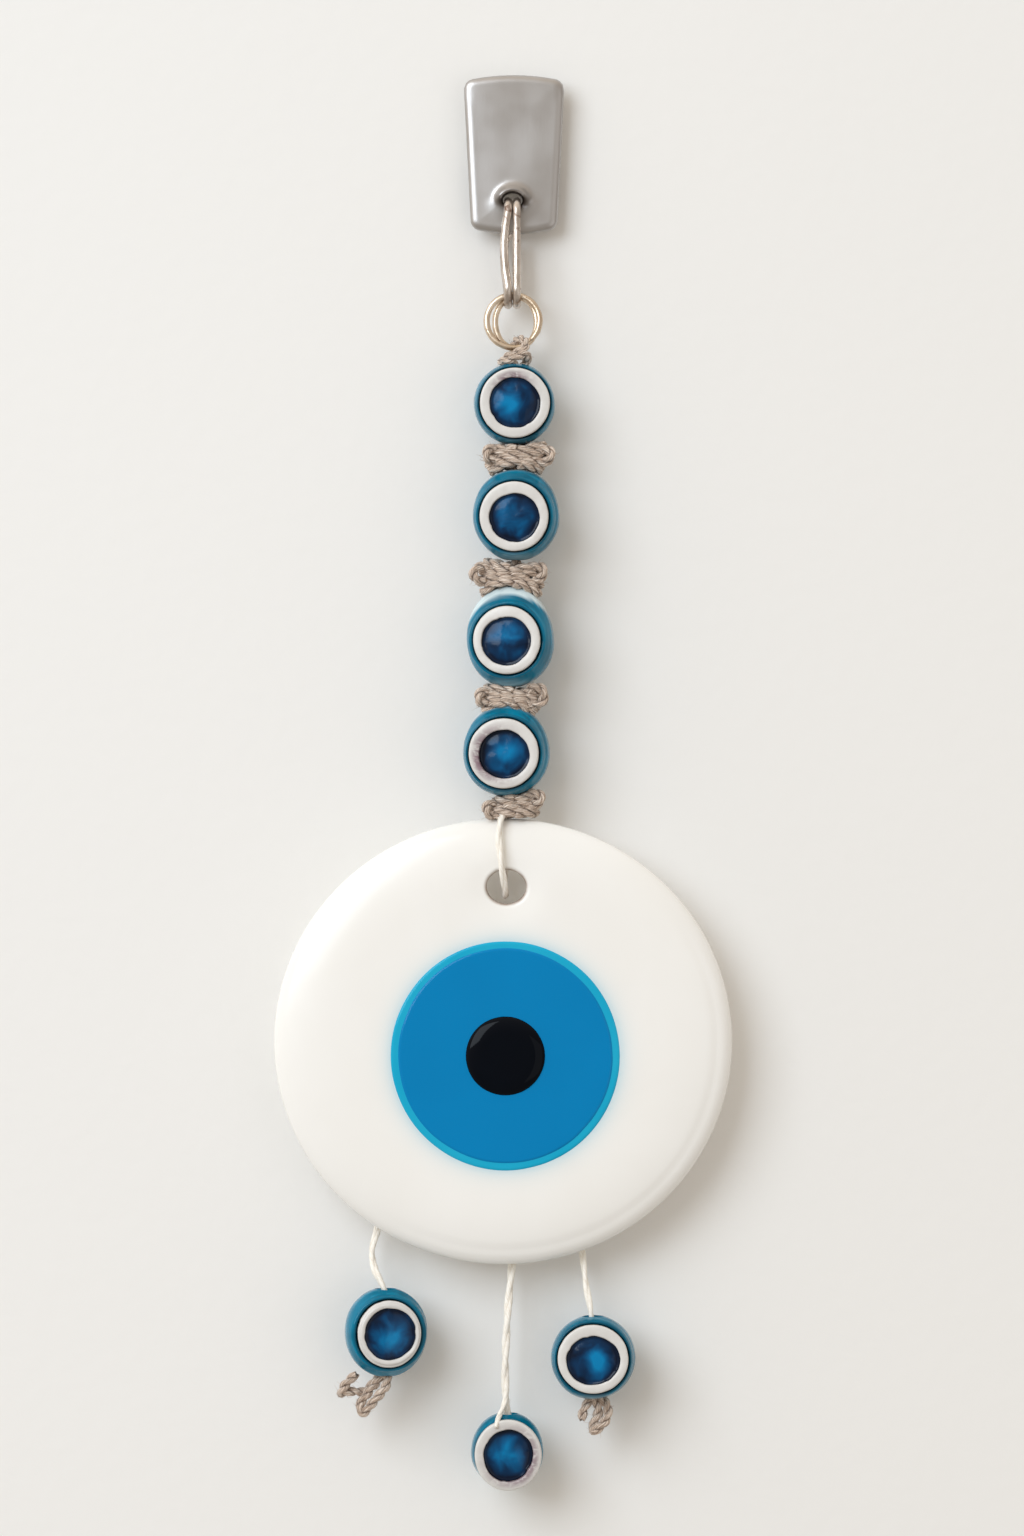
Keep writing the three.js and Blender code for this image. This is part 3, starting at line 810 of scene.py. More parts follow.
def holed_plate(rim, throat, hole_lip, rim_zone, front, back, middle_rows, **values):
    """A closed plate with one hole: rim and throat are matching loops of (x, z) points.

    front and back give the Y of the face at (x, z, distance from the throat, share of the way
    to the rim). Rows crowd together over the hole's lip and over the rim's rounding. Each value
    is a function of (x, z, distance from the throat, 1 on the front and 0 on the back).
    """
    span = np.linalg.norm(rim - throat, axis=1)[:, None]
    lip = hole_lip * (1 - np.cos(np.linspace(0, math.pi / 2, 8)))
    edge = rim_zone * (1 - np.sin(np.linspace(0, math.pi / 2, 16)))
    start, stop = lip[-1] / span, 1 - edge[0] / span
    between = np.linspace(0, 1, middle_rows + 2)[1:-1]
    shares = np.hstack([lip / span, start + (stop - start) * between, 1 - edge / span])
    rows, kept = [], {name: [] for name in values}
    for face, order, on_front in ((front, shares.T, 1), (back, shares.T[::-1][1:], 0)):
        for share in order:
            x, z = (throat + (rim - throat) * share[:, None]).T
            from_throat = share * span[:, 0]
            rows.append(np.column_stack([x, face(x, z, from_throat, share), z]))
            for name, value in values.items():
                kept[name].append(value(x, z, from_throat, on_front))
    return shell(rows, wrap=True, **{name: np.array(value) for name, value in kept.items()})


def rounding(distance, width, depth):
    """How far a face has dropped at a distance from its edge, for a quarter-round of that width."""
    share = np.clip((width - distance) / width, 0, 1)
    return depth * (1 - np.sqrt(1 - share**2))


def add_tag():
    """The plate, with a hood over the top of its hole and a low swelling under it."""
    low, high = box("tag_plate")
    face, plate_back = low[1] + 1.1, high[1]
    angles = circle(200)
    hole = np.array([TAG_HOLE["x"], TAG_HOLE["z"]])
    hole_z = hole[1]
    size = np.array([TAG_HOLE["half_width"], TAG_HOLE["half_height"]])
    throat = hole + size * np.column_stack([np.cos(angles), np.sin(angles)])
    outline = tag_outline()
    rim = seen_from(hole, outline, angles)

    def inset(x, z):
        """Distance in from the rim."""
        gaps = np.hypot(x[:, None] - outline[None, :, 0], z[:, None] - outline[None, :, 1])
        return gaps.min(axis=1)

    def front(x, z, from_throat, _):
        from_rim = inset(x, z)
        turn = rounding(from_rim, TAG_EDGE, plate_back - face - 0.35)
        crown = TAG_CROWN * smooth(from_rim, 0, 7)
        above = smooth(z - hole_z, -1.4, 1.2)
        hood = TAG_HOOD * above * np.exp(-(((from_throat - 0.75) / 1.0) ** 2))
        swell = 0.22 * np.exp(-(((from_throat - 1.6) / 1.5) ** 2)) * (1 - above)
        lip = rounding(from_throat, 0.7, 1.0)
        return face + turn - crown - hood - swell + lip

    def back(x, z, from_throat, _):
        return plate_back - rounding(inset(x, z), 0.35, 0.3) - rounding(from_throat, 0.3, 0.3)

    def grime(x, z, from_throat, on_front):
        # painted shade round the hole, strongest below it, with grime right in the throat; the back is
        # darkened by half all over
        lower = 1 - smooth(z - hole_z, -0.4, 1.6)
        near = 1.2 * np.exp(-((from_throat / 1.5) ** 2)) * (0.35 + 0.65 * lower) + (from_throat < 0.25)
        return np.clip(near, 0, 1) * on_front + (1 - on_front) * 0.5

    made = holed_plate(rim, throat, 0.9, 2.4, front, back, 30, grime=grime)
    add_piece("tag", made, "tag_steel", "tag", "tag_plate")


def add_foam_pad():
    """A foam square with rounded corners, a slight waist and a rough cut side."""
    low, high = box("adhesive_pad")
    middle = (low + high) / 2
    half = (high - low) / 2
    angles = circle(96)
    square = 5.0  # how square its rounded outline is
    near_x, near_z = np.abs(np.cos(angles) / half[0]), np.abs(np.sin(angles) / half[2])
    reach = (near_x**square + near_z**square) ** (-1 / square)
    rows = []
    for height in np.linspace(-1, 1, 15):
        corner = 1 - 0.05 * abs(height) ** 8
        size = reach * corner * (1 - 0.02 * (1 - height**2))
        x, z = middle[0] + size * np.cos(angles), middle[2] + size * np.sin(angles)
        y = np.full(angles.shape, middle[1] + half[1] * height)
        rows.append(np.column_stack([x, y, z]))
    rows = np.array(rows)
    rows[1:-1] += 0.10 * ripple(rows[1:-1], 7, 1.2)[..., None] * unit(rows[1:-1] - middle)
    pad = add_piece("foam_pad", shell(rows), "foam", "tag", "adhesive_pad")


# Metal rings


LINK_BENDS = (2.9, 3.5)  # the radius of the wire's middle, in the top and the bottom bend
LINK_CROSSING = 0.045  # the share of its length over which the wire crosses between its two turns
RING_RADIUS = 5.82
RING_LEAN = math.radians(7)
RING_RISE = 1.45  # the gap between its two turns


def link_path(along, leg):
    """The depth and the height at lengths along the link's oval, from halfway up its back leg.

    It goes up, over the top, down the front leg, under the bottom and back up.
    """
    top, bottom = LINK_BENDS
    middle = (top + bottom) / 2
    ends = np.cumsum([0, leg / 2, math.pi * top, leg, math.pi * bottom, leg / 2])
    up, over, down, under, back = [(along - a) / (b - a) for a, b in zip(ends, ends[1:])]
    depths = [
        middle + (top - middle) * up,
        top * np.cos(np.pi * over),
        -top - (bottom - top) * down,
        -bottom * np.cos(np.pi * under),
        bottom + (middle - bottom) * back,
    ]
    heights = [
        leg * (1 + up) / 2,
        leg + top * np.sin(np.pi * over),
        leg * (1 - down),
        -bottom * np.sin(np.pi * under),
        leg * back / 2,
    ]
    stage = np.searchsorted(ends[1:-1], along, side="right")
    return np.choose(stage, depths), np.choose(stage, heights)


def add_split_link():
    """A narrow oval wound twice. The wire crosses from one turn to the other behind the tag."""
    low, high = box("split_link")
    wire = 0.825  # the CAD wire's radius
    top_radius, bottom_radius = LINK_BENDS
    x = (low[0] + high[0]) / 2
    top_y, top_z = high[1] - wire - top_radius + 0.008, high[2] - wire - top_radius + 0.02
    bottom_y, bottom_z = low[1] + wire + bottom_radius, low[2] + wire + bottom_radius
    lean = math.atan2(top_y - bottom_y, top_z - bottom_z)
    leg = math.hypot(top_y - bottom_y, top_z - bottom_z)
    length = 2 * leg + math.pi * (top_radius + bottom_radius)
    turns = np.linspace(LINK_CROSSING - 1, 1 - LINK_CROSSING, 420)
    start = leg * 0.30  # puts the wire's ends behind the tag
    depth, height = link_path((turns * length + start) % length, leg)
    crossing = np.sin(np.clip(turns / LINK_CROSSING, -1, 1) * math.pi / 2)
    spacing = 0.97 + 0.42 * np.sin(np.pi * np.clip(height / leg, 0, 1))
    line = np.column_stack(
        [
            x + 0.8 - spacing * (1 - crossing),
            bottom_y + height * math.sin(lean) + depth * math.cos(lean),
            bottom_z + height * math.cos(lean) - depth * math.sin(lean),
        ]
    )
    made = wire_tube(line, 0.95, 61, 0.05, end_length=0.95)
    add_piece("link", made, "aged_nickel", "link", "split_link")


def wire_tube(line, wire, seed, wobble, end_length):
    """Hand-worked wire: a little uneven, with rounded ends of that length."""
    sides = 20
    along = lengths_along(line)
    from_end = np.minimum(along, along[-1] - along)
    end = np.sqrt(1 - np.clip(1 - from_end / end_length, 0, 1) ** 2)
    surface = line[:, None] + wire * spokes_round(line, sides)
    worked = 1 + wobble * ripple(surface, seed, 1.6) - wobble * 0.5
    return tube(line, wire * worked * np.maximum(end, 0.08)[:, None], sides)


def add_split_ring():
    """Two turns of wire. One is squeezed in from the left, so that both show there."""
    middle = centre("split_ring")
    turns = np.linspace(-1, 1, 420)
    angles = 2 * math.pi * turns - math.radians(50)
    squeezed = smooth(turns, -0.25, 0.20)
    size = RING_RADIUS - 0.5 * smooth(turns, 0.86, 1.0)
    flat = size * np.sin(angles)
    depth = RING_RISE * turns
    line = np.column_stack(
        [
            middle[0] + (size - 1.25 * squeezed) * np.cos(angles) + 0.60 * squeezed,
            middle[1] + depth * math.cos(RING_LEAN) + flat * math.sin(RING_LEAN),
            middle[2] + 0.01 + flat * math.cos(RING_LEAN) - depth * math.sin(RING_LEAN),
        ]
    )
    made = wire_tube(line, 0.72, 67, 0.06, end_length=0.72 * 4)
    add_piece("ring", made, "pale_gold", "ring", "split_ring")


# Twine


TWINE = 1.08  # the twine's radius
TWIST = 5.6  # one turn of its plies
TWINE_SIDES = 12
TWINE_STEP = 0.25  # between the rings of its mesh


def wraps(turns, start=0.25):
    """A winding round an upright axis, as offsets in millimetres.

    Each turn is (half length, depth, lift, tilt in degrees, droop of its ends, shift), and the
    winding eases from one turn's values to the next.
    """
    turns = np.array(turns, float)
    share = np.linspace(0, len(turns) - 0.02, 20 * len(turns))
    eased = np.array([np.interp(share - 0.5, np.arange(len(turns)), column) for column in turns.T])
    half, depth, lift, tilt, droop, shift = eased
    angle = 2 * math.pi * (share + start)
    x = half * np.cos(angle) + shift
    y = -depth * np.sin(angle)
    z = lift + np.tan(np.radians(tilt)) * x - droop * np.cos(angle) ** 2
    return np.column_stack([x, y, z])


# the turns of each knot, and the bights (x, z, radius, first and last angle) that stand out of it
KNOTS = {
    1: {
        "turns": [
            (5.4, 2.6, 1.9, 5, -0.3, 0.2), (6.3, 2.9, 0.9, 9, 0.2, 0.6),
            (6.4, 2.9, -0.5, 7, 0.6, 0.5), (5.3, 3.2, -1.7, 2, 1.2, 0.0),
        ],
        "bights": [(6.3, 0.3, 1.5, -130, 130), (-5.3, 0.5, 1.3, 60, 290)],
    },
    2: {
        "turns": [
            (5.2, 2.6, 2.6, -4, -0.6, 0.2), (6.0, 2.9, 1.2, 3, -0.2, 0.0),
            (6.3, 3.0, 0.0, 0, 0.8, 0.0), (5.8, 3.6, -0.9, 2, 2.7, 0.1),
        ],
        "bights": [(-6.3, 0.9, 1.7, 40, 300), (6.0, 1.3, 1.5, -120, 140)],
    },
    3: {
        "turns": [
            (5.6, 2.5, 1.7, -5, 0.0, 0.2), (6.2, 2.8, 0.5, 4, 0.1, 0.1),
            (5.9, 3.0, -0.6, -3, 0.7, 0.0), (5.0, 3.6, -1.2, 2, 2.2, -0.5),
        ],
        "bights": [(5.3, 0.6, 2.0, -150, 150), (-6.0, 0.2, 1.3, 60, 290)],
    },
    4: {
        "turns": [
            (4.2, 2.4, 2.0, 10, -0.3, 0.5), (4.9, 2.6, 0.9, 12, 0.0, 0.5),
            (5.1, 2.6, -0.3, 8, 0.2, 0.3), (4.9, 2.6, -1.2, 2, 0.0, 0.2),
        ],
        "bights": [(4.9, 2.0, 1.4, -140, 130), (-4.7, -0.4, 1.2, 70, 280)],
    },
}


def add_knots():
    """Each knot: a winding of twine, with bights that stand out at its sides."""
    for number, knot in KNOTS.items():
        middle = centre(f"knot_{number}")
        route = wraps(knot["turns"]) + middle
        route += 0.34 * np.column_stack([ripple(route, 10 * number + k, 5) for k in range(3)])
        made = [twisted(route, TWINE, TWIST, 10 * number, TWINE_STEP, TWINE_SIDES, fibres=60)]
        for at_x, at_z, size, first, last in knot["bights"]:
            turns = np.radians(np.linspace(first, last, 9))
            depth = -1.9 - 1.0 * np.sin(np.linspace(0, math.pi, 9))
            bight = np.column_stack([at_x + size * np.cos(turns), depth, at_z + size * np.sin(turns)])
            seed = 10 * number + len(made)
            bight += middle
            made.append(twisted(bight, TWINE * 0.95, TWIST, seed, TWINE_STEP, TWINE_SIDES, fibres=16))
        name = f"knot_{number}"
        piece = add_piece(f"twine_{name}", merged(made), "twine", name, name)
        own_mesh(piece)


def add_string():
    """The twine between the knots."""
    for number in range(1, 5):
        node = f"string_core_{number}"
        low, high = box(node)
        x, y = (low[:2] + high[:2]) / 2
        route = [(x, y, high[2] + 0.3), (x, y, (low[2] + high[2]) / 2), (x, y, low[2] - 0.3)]
        made = twisted(route, TWINE, TWIST, 100 + number)
        add_piece(f"twine_strand_{number}", made, "twine", f"strand_{number}", node)


LOOP_STRANDS = [
    [(0.1, -8.6, -47.2), (-2.0, -9.9, -46.3), (-1.6, -11.1, -45.2), (0.6, -11.4, -44.2),
     (2.5, -10.9, -42.9), (2.2, -9.2, -41.3), (0.9, -7.2, -41.0), (0.0, -5.2, -42.1),
     (-0.2, -4.8, -44.2), (0.0, -6.6, -46.2), (0.1, -9.0, -47.3)],
    [(1.9, -8.4, -46.8), (2.9, -10.0, -45.7), (2.9, -11.2, -44.5), (1.3, -11.9, -44.9),
     (-0.8, -11.6, -45.8), (-2.7, -10.0, -46.0), (-2.2, -8.2, -46.0), (-0.4, -7.2, -46.3)],
]


def add_hanging_loop():
    made = [
        twisted(route, 0.92, 4.8, 5 + number, 0.22, TWINE_SIDES, fibres=26, length=1.3)
        for number, route in enumerate(LOOP_STRANDS)
    ]
    add_piece("twine_loop", merged(made), "twine", "strand_1", "hanging_loop")


# the twine ends below the outer pendants, as (x, z) points
TWINE_ENDS = {
    "left": [
        (-34.6, -268.6), (-36.6, -270.4), (-38.0, -272.8), (-35.6, -272.6), (-32.8, -272.6),
        (-29.9, -269.7), (-27.9, -269.2), (-28.3, -271.5), (-30.8, -274.6), (-33.0, -277.0),
        (-33.9, -275.6), (-32.1, -272.8), (-29.9, -270.0), (-28.4, -267.6),
    ],
    "right": [
        (15.0, -278.7), (15.2, -276.9), (16.2, -275.0), (17.4, -273.8), (19.0, -274.1),
        (20.5, -275.7), (20.6, -277.9), (19.4, -279.8), (17.3, -281.3), (17.6, -279.4),
        (18.6, -276.8), (17.6, -273.4),
    ],
}


# one strand of the middle cord runs over the bead's front, onto its ring
MIDDLE_STRAND = [
    (-1.6, -10.7, -272.6), (-2.0, -11.3, -274.6), (-2.6, -12.3, -276.3), (-3.2, -13.7, -277.6),
    (-3.6, -15.2, -278.4), (-3.8, -16.3, -279.2), (-3.9, -16.8, -279.8),
]


def add_end_knots():
    """The twine ends of the outer pendants, and the middle pendant's front strand and stop knot."""
    for seed, (side, flat) in enumerate(TWINE_ENDS.items(), 200):
        flat = np.array(flat)
        swing = -10.9 - 1.1 * np.cos(np.linspace(0, 3 * math.pi, len(flat)))
        route = np.column_stack([flat[:, 0], swing, flat[:, 1]])
        made = twisted(route, 1.02, 5.0, seed, 0.22, TWINE_SIDES, fibres=46)
        add_piece(f"{side}_twine_ends", made, "twine", f"{side}_pendant", f"{side}_end_knot")
    strand = twisted(MIDDLE_STRAND, 0.55, 9, 270, fibres=6, spacing=0.25, length=0.7, apart=0.3)
    add_piece("middle_front_strand", strand, "cream_cord", "middle_pendant")
    middle = centre("middle_stop_knot")
    coil = wraps([(1.3, 1.2, 0.3, 0, 0, 0), (1.2, 1.3, -0.3, 8, 0, 0)]) + middle
    made = twisted(coil, 0.62, 5, 260, fibres=6, spacing=0.25, length=0.7)
    add_piece("middle_knot", made, "cream_cord", "middle_pendant", "middle_stop_knot")


# Eye beads. All sizes are in millimetres, across and up the eye's face. ring and hole are half
# sizes, sink is how deep the eye lies, shift moves the hole and the eye, and top and bottom are the
# body's half heights. glow is (x, y, width, height, strength) on the eye, and stain is
# (angle, spread, strength) of the violet smear on the ring's face. milk, foot, ridge and
# deep are the strengths of the painted pale sheen on the crown, the paler foot, the step in the
# body's side and the painted violet shade down the hole's wall. A brim is how far the
# ring stands out over its seat.

PLAIN_BEAD = {"shift": (0.0, 0.0), "stain": (0, 20, 0.0), "ridge": 0.0, "deep": 0.0}
BEADS = {
    1: PLAIN_BEAD | {
        "ring": (7.65, 7.7), "hole": (5.65, 5.5), "sink": 0.75,
        "top": 9.0, "bottom": 9.0, "glow": (-0.8, -0.3, 2.9, 2.4, 0.90), "stain": (97, 42, 1.0),
        "milk": 0.15, "foot": 0.1,
    },
    2: PLAIN_BEAD | {
        "ring": (7.55, 7.6), "hole": (5.5, 5.4), "sink": 0.7, "shift": (0.1, -0.3),
        "top": 10.4, "bottom": 10.0, "glow": (-0.6, 0.3, 3.6, 3.6, 0.40),
        "milk": 0.6, "foot": 0.35, "ridge": 0.25,
    },
    3: PLAIN_BEAD | {
        "ring": (7.4, 7.45), "hole": (5.45, 5.4), "sink": 0.8, "shift": (-0.1, -0.2),
        "top": 12.2, "bottom": 10.3, "glow": (0.5, 1.7, 3.4, 2.6, 0.55),
        "milk": 1.0, "foot": 0.35, "ridge": 0.12,
    },
    4: PLAIN_BEAD | {
        "ring": (7.7, 7.65), "hole": (5.55, 5.4), "sink": 1.8, "shift": (0.1, -0.2),
        "top": 10.9, "bottom": 9.6, "glow": (0.3, 0.1, 2.5, 2.5, 1.0), "stain": (185, 80, 1.0),
        "milk": 0.35, "foot": 0.1, "ridge": 0.25, "deep": 0.55,
    },
    5: PLAIN_BEAD | {
        "ring": (7.0, 7.35), "hole": (5.75, 5.65), "sink": 0.6, "shift": (0.15, 0.0),
        "top": 9.8, "bottom": 9.8, "glow": (0.5, -1.0, 3.4, 2.8, 0.70),
        "milk": 0.2, "foot": 0.1, "ridge": 0.2,
    },
    6: PLAIN_BEAD | {
        "ring": (7.35, 7.8), "hole": (5.4, 5.8), "sink": 1.3, "shift": (0.0, -0.1),
        "top": 8.8, "bottom": 7.9, "glow": (-0.3, 0.7, 3.3, 3.6, 0.55), "stain": (-30, 110, 0.8),
        "milk": 0.1, "foot": 1.4, "deep": 0.75, "brim": 0.85, "radius": 8.0,
    },
    7: PLAIN_BEAD | {
        "ring": (7.75, 7.5), "hole": (5.85, 5.4), "sink": 0.7, "shift": (0.0, -0.3),
        "top": 9.3, "bottom": 9.2, "glow": (0.9, -0.2, 2.0, 3.3, 0.90),
        "milk": 0.3, "foot": 0.3, "ridge": 0.1,
    },
}
RING_PROUD = 1.2  # how far the ring stands out of the body's flat face
SEAT_DEPTH = 2.4
SEAT_GAP = 0.16  # between the ring and its seat
FACE_RADIUS = 7.75  # of the flat face that the seat is cut into
SHOULDER = 0.42  # how far behind the flat face the body's side begins
BULGE = 2.35  # how full the body's front half is, where 2 is a ball


def bead_frame(number):
    """A bead's centre, its radius, how far forward its flat face lies and which way it looks."""
    low, high = box(f"bead_{number}_body")
    radius = (high[0] - low[0]) / 2
    middle = np.array([(low[0] + high[0]) / 2, high[1] - radius, (low[2] + high[2]) / 2])
    looks = unit(centre(f"bead_{number}_ring") - middle)
    return middle, radius, math.sqrt(radius**2 - FACE_RADIUS**2), looks


def seat_size(look):
    """The radius of the seat that a bead's ring stands in."""
    return max(look["ring"]) + SEAT_GAP - look.get("brim", 0)


def face_axes(axis):
    """The directions to the right and up across a face that looks along the axis."""
    right = unit(np.cross(UP, axis))
    return right, np.cross(axis, right)


def off_centre(look, axis):
    """How far a bead's hole and eye lie off the middle of its ring."""
    right, up = face_axes(axis)
    return look["shift"][0] * right + look["shift"][1] * up


def split_along(rows, axis):
    """The part of each offset that lies along an axis, and the part across it."""
    along = (rows @ axis)[..., None] * axis
    return along, rows - along


def oval(angles, sizes):
    """The radius of an oval with those half sizes at each angle."""
    across_size, up_size = sizes
    return 1 / np.sqrt((np.cos(angles) / across_size) ** 2 + (np.sin(angles) / up_size) ** 2)


def uneven(angles, seed, amount):
    """A loop's small radial wobble, with a few sharper nicks."""
    random = np.random.default_rng(seed)
    wobble = np.zeros(angles.shape)
    for waves in (2, 3, 5, 8, 13):
        wobble += np.sin(waves * angles + random.uniform(0, 2 * math.pi)) / waves**0.7
    for _ in range(3):
        at = random.uniform(0, 2 * math.pi)
        away = np.abs((angles - at + math.pi) % (2 * math.pi) - math.pi)
        wobble -= random.uniform(0.6, 1.4) * np.exp(-((away / 0.09) ** 2))
    return amount * wobble


def hole_shape(number, angles):
    """A ring's uneven hole at each angle, as a share of its largest radius."""
    sizes = BEADS[number]["hole"]
    return oval(angles, sizes) / max(sizes) + uneven(angles, 400 + number, 0.018)


def body_profile(look, radius, face):
    """A body's outline from the middle of its seat to its back, and how many rows make the seat."""
    side = []
    for height in np.linspace(face - SHOULDER, 0, 12)[:-1]:
        side.append((radius * (1 - (height / radius) ** BULGE) ** (1 / BULGE), height))
    for angle in np.radians(np.linspace(0, -88, 34)):
        side.append((radius * math.cos(angle), radius * math.sin(angle)))
    floor, seat = face - SEAT_DEPTH, seat_size(look)
    lip = (side[0][0] - seat) / 2
    profile = [(0.05, floor), (seat * 0.55, floor), (seat - 0.3, floor)]
    profile += arc(seat - 0.3, floor + 0.3, 0.3, -90, 0, 4)[1:]
    profile += [(seat, floor + 1.2)]
    seat_rows = len(profile)
    profile += arc(seat + lip, face - SHOULDER, lip, 180, 0, 9)
    return np.array(profile + side[1:]), seat_rows


def drill_bore(piece, look, middle):
    """The upright bore, flared where it leaves the body."""
    top, bottom = look["top"], look["bottom"]
    bore = [(0.3, -16), (2.9, -15.9), (2.5, -bottom + 0.1), (1.75, -bottom + 1.6), (1.65, 0)]
    bore += [(1.75, top - 1.9), (2.4, top - 0.3), (2.8, 15.9), (0.3, 16)]
    cut(piece, make_object("bore", turned(bore, middle, UP, 40)))


def add_bead_body(number, body):
    """A slightly uneven ball with a flat face, a seat for the ring and an upright bore."""
    look = BEADS[number]
    middle, radius, face, axis = bead_frame(number)
    radius = look.get("radius", radius)
    profile, seat_rows = body_profile(look, radius, face)

    def reshape(rows, angles, profile):
        # the seat takes the ring's oval shape, and the lip eases it back to round
        shape = oval(angles, look["ring"]) / max(look["ring"])
        fit = np.ones((len(rows), len(angles)))
        fit[: seat_rows + 2] = shape
        blend = np.linspace(0, 1, 8)[:, None]
        fit[seat_rows + 1 : seat_rows + 9] = shape * (1 - blend) + blend
        along, flat = split_along(rows, axis)
        rows = along + flat * fit[..., None]
        # away from the flat face the body is taller or shorter, and uneven
        away = smooth(profile[:, 1], face - 0.3, face - 3.0)[:, None]
        away[: seat_rows + 5] = 0
        tall = np.where(rows[..., 2] > 0, look["top"], look["bottom"]) / radius
        rows[..., 2] *= 1 + (tall - 1) * away
        noise = ripple(rows + middle, 300 + number, 9) * 0.16
        noise += ripple(rows + middle, 330 + number, 4) * 0.05
        # a step in the glass behind the flat face, deepest on the right
        side = np.cos(angles - math.radians(10)) * 0.5 + 0.5
        steps = np.exp(-(((profile[:, 1] - face + 2.1) / 0.55) ** 2))[:, None]
        noise = noise * away - look["ridge"] * steps * side**2
        return rows + unit(rows + 1e-9) * noise[..., None]

    def milk(rows, angles, profile):
        # the crown's paleness is a painted sheen of the light above it; the foot is paler glass
        height = rows[..., 2]
        crown = smooth(np.hypot(rows[..., 0], height), 9.7, 10.3) * (height > 0)
        foot = smooth(-height, look["bottom"] * (0.75 - 0.6 * (look["foot"] > 1)), look["bottom"])
        return np.clip(look["milk"] * crown + look["foot"] * foot, 0, 1)

    # painted shade along the groove between the ring and its seat
    def gap(rows, angles, profile):
        near = np.exp(-(((profile[:, 0] - seat_size(look) - 0.1) / 0.35) ** 2))
        return (near * (profile[:, 1] > face - 3))[:, None]

    swirls = {
        "swirl_x": lambda rows, angles, profile: np.cos(angles) + 3 * number,
        "swirl_y": lambda rows, angles, profile: np.sin(angles),
        "swirl_z": lambda rows, angles, profile: lengths_along(profile)[:, None] / 7,
    }
    made = turned(profile, middle, axis, 132, reshape, milk=milk, gap=gap, **swirls)
    piece = make_object(f"bead_{number}_glass", made)
    drill_bore(piece, look, middle)
    add_piece(piece.name, piece, "teal_glass", body, f"bead_{number}_body")


def add_bead_ring(number, body):
    """A white ring with an uneven hole, standing in the body's seat."""
    look = BEADS[number]
    middle, _, face, axis = bead_frame(number)
    back, front = face - SEAT_DEPTH + 0.1, face + RING_PROUD
    inner, outer = max(look["hole"]), max(look["ring"])
    profile = [(inner, back), (inner, back + 1.0), (inner, front - 0.9)]
    profile += arc(inner + 0.38, front - 0.38, 0.38, 180, 90, 7)
    profile += [((inner + outer) / 2 - 0.3, front + 0.05), ((inner + outer) / 2 + 0.3, front + 0.04)]
    profile += arc(outer - 0.5, front - 0.5, 0.5, 90, 0, 8)
    seat = seat_size(look) - 0.18
    profile += [(outer, front - 1.3), (seat + 0.02, face + 0.06)]
    profile += [(seat, back + 0.3), (seat - 0.3, back)]

    def reshape(rows, angles, profile):
        towards_hole = smooth(profile[:, 0], seat - 0.3, inner + 0.5)[:, None]
        hole = hole_shape(number, angles)
        rim = oval(angles, look["ring"]) / outer + uneven(angles, 420 + number, 0.004)
        fit = rim * (1 - towards_hole) + hole * towards_hole
        along, flat = split_along(rows, axis)
        flat = flat * fit[..., None] + towards_hole[..., None] * off_centre(look, axis)
        wave = ripple(flat + middle, 440 + number, 4.5) * 0.09
        wave = wave * smooth(profile[:, 1], front - 1.2, front - 0.2)[:, None]
        return along + flat + wave[..., None] * axis

    def stain(rows, angles, profile):
        at, spread, strength = look["stain"]
        away = (angles - math.radians(at) + math.pi) % (2 * math.pi) - math.pi
        sector = np.exp(-((away / math.radians(spread)) ** 2))
        inward = smooth(profile[:, 0], outer - 0.1, inner + 0.5)[:, None]
        # painted shade down the hole's wall, where the eye lies sunk, added to the face's smear
        wall = smooth(profile[:, 1], front - 0.25, front - 0.8) * (profile[:, 0] < inner + 0.4)
        return np.clip(strength * sector * inward + look["deep"] * wall[:, None], 0, 1)

    made = turned(profile, middle, axis, 168, reshape, wrap=True, stain=stain)
    add_piece(f"bead_{number}_clay", made, "white_clay", body, f"bead_{number}_ring")


def add_bead_eye(number, body):
    """A low dome of navy glass that fills the ring's hole and lies a little below its face."""
    look = BEADS[number]
    middle, _, face, axis = bead_frame(number)
    radius = max(look["hole"])
    back, edge = face - SEAT_DEPTH + 0.15, face + RING_PROUD - look["sink"] - 0.35
    profile = []
    for share in np.linspace(0.01, 0.985, 26):
        dome = 0.62 * (1 - share**2) + 0.30 * smooth(share, 0.86, 1.0)
        profile.append((radius * share, edge + dome))
    profile += [(radius * 1.01, edge - 0.1), (radius * 1.01, back), (radius * 0.5, back), (0.1, back)]

    def reshape(rows, angles, profile):
        share = (profile[:, 0] / radius)[:, None]
        fit = 1 + (hole_shape(number, angles) - 1) * share
        along, flat = split_along(rows, axis)
        flat = flat * fit[..., None] + off_centre(look, axis)
        dents = ripple(flat + middle, 460 + number, 2.6) * 0.13 * (profile[:, 1] > edge)[:, None]
        return along + flat + dents[..., None] * axis

    def glow(rows, angles, profile):
        right, up = face_axes(axis)
        x, y = rows @ right, rows @ up
        at_x, at_y, wide, tall, strength = look["glow"]
        spot = np.exp(-(((x - at_x) / wide) ** 2) - ((y - at_y) / tall) ** 2)
        rim = smooth(np.hypot(x, y), radius * 0.7, radius * 0.98)
        return np.clip(0.85 * strength * spot + 0.25 - 0.3 * rim, 0, 1)

    made = turned(profile, middle, axis, 120, reshape, glow=glow)
    add_piece(f"bead_{number}_eye_glass", made, "navy_glass", body, f"bead_{number}_eye")


def add_beads():
    for number in BEADS:
        for add_part in (add_bead_body, add_bead_ring, add_bead_eye):
            add_part(number, f"bead_{number}")


# Glass disc

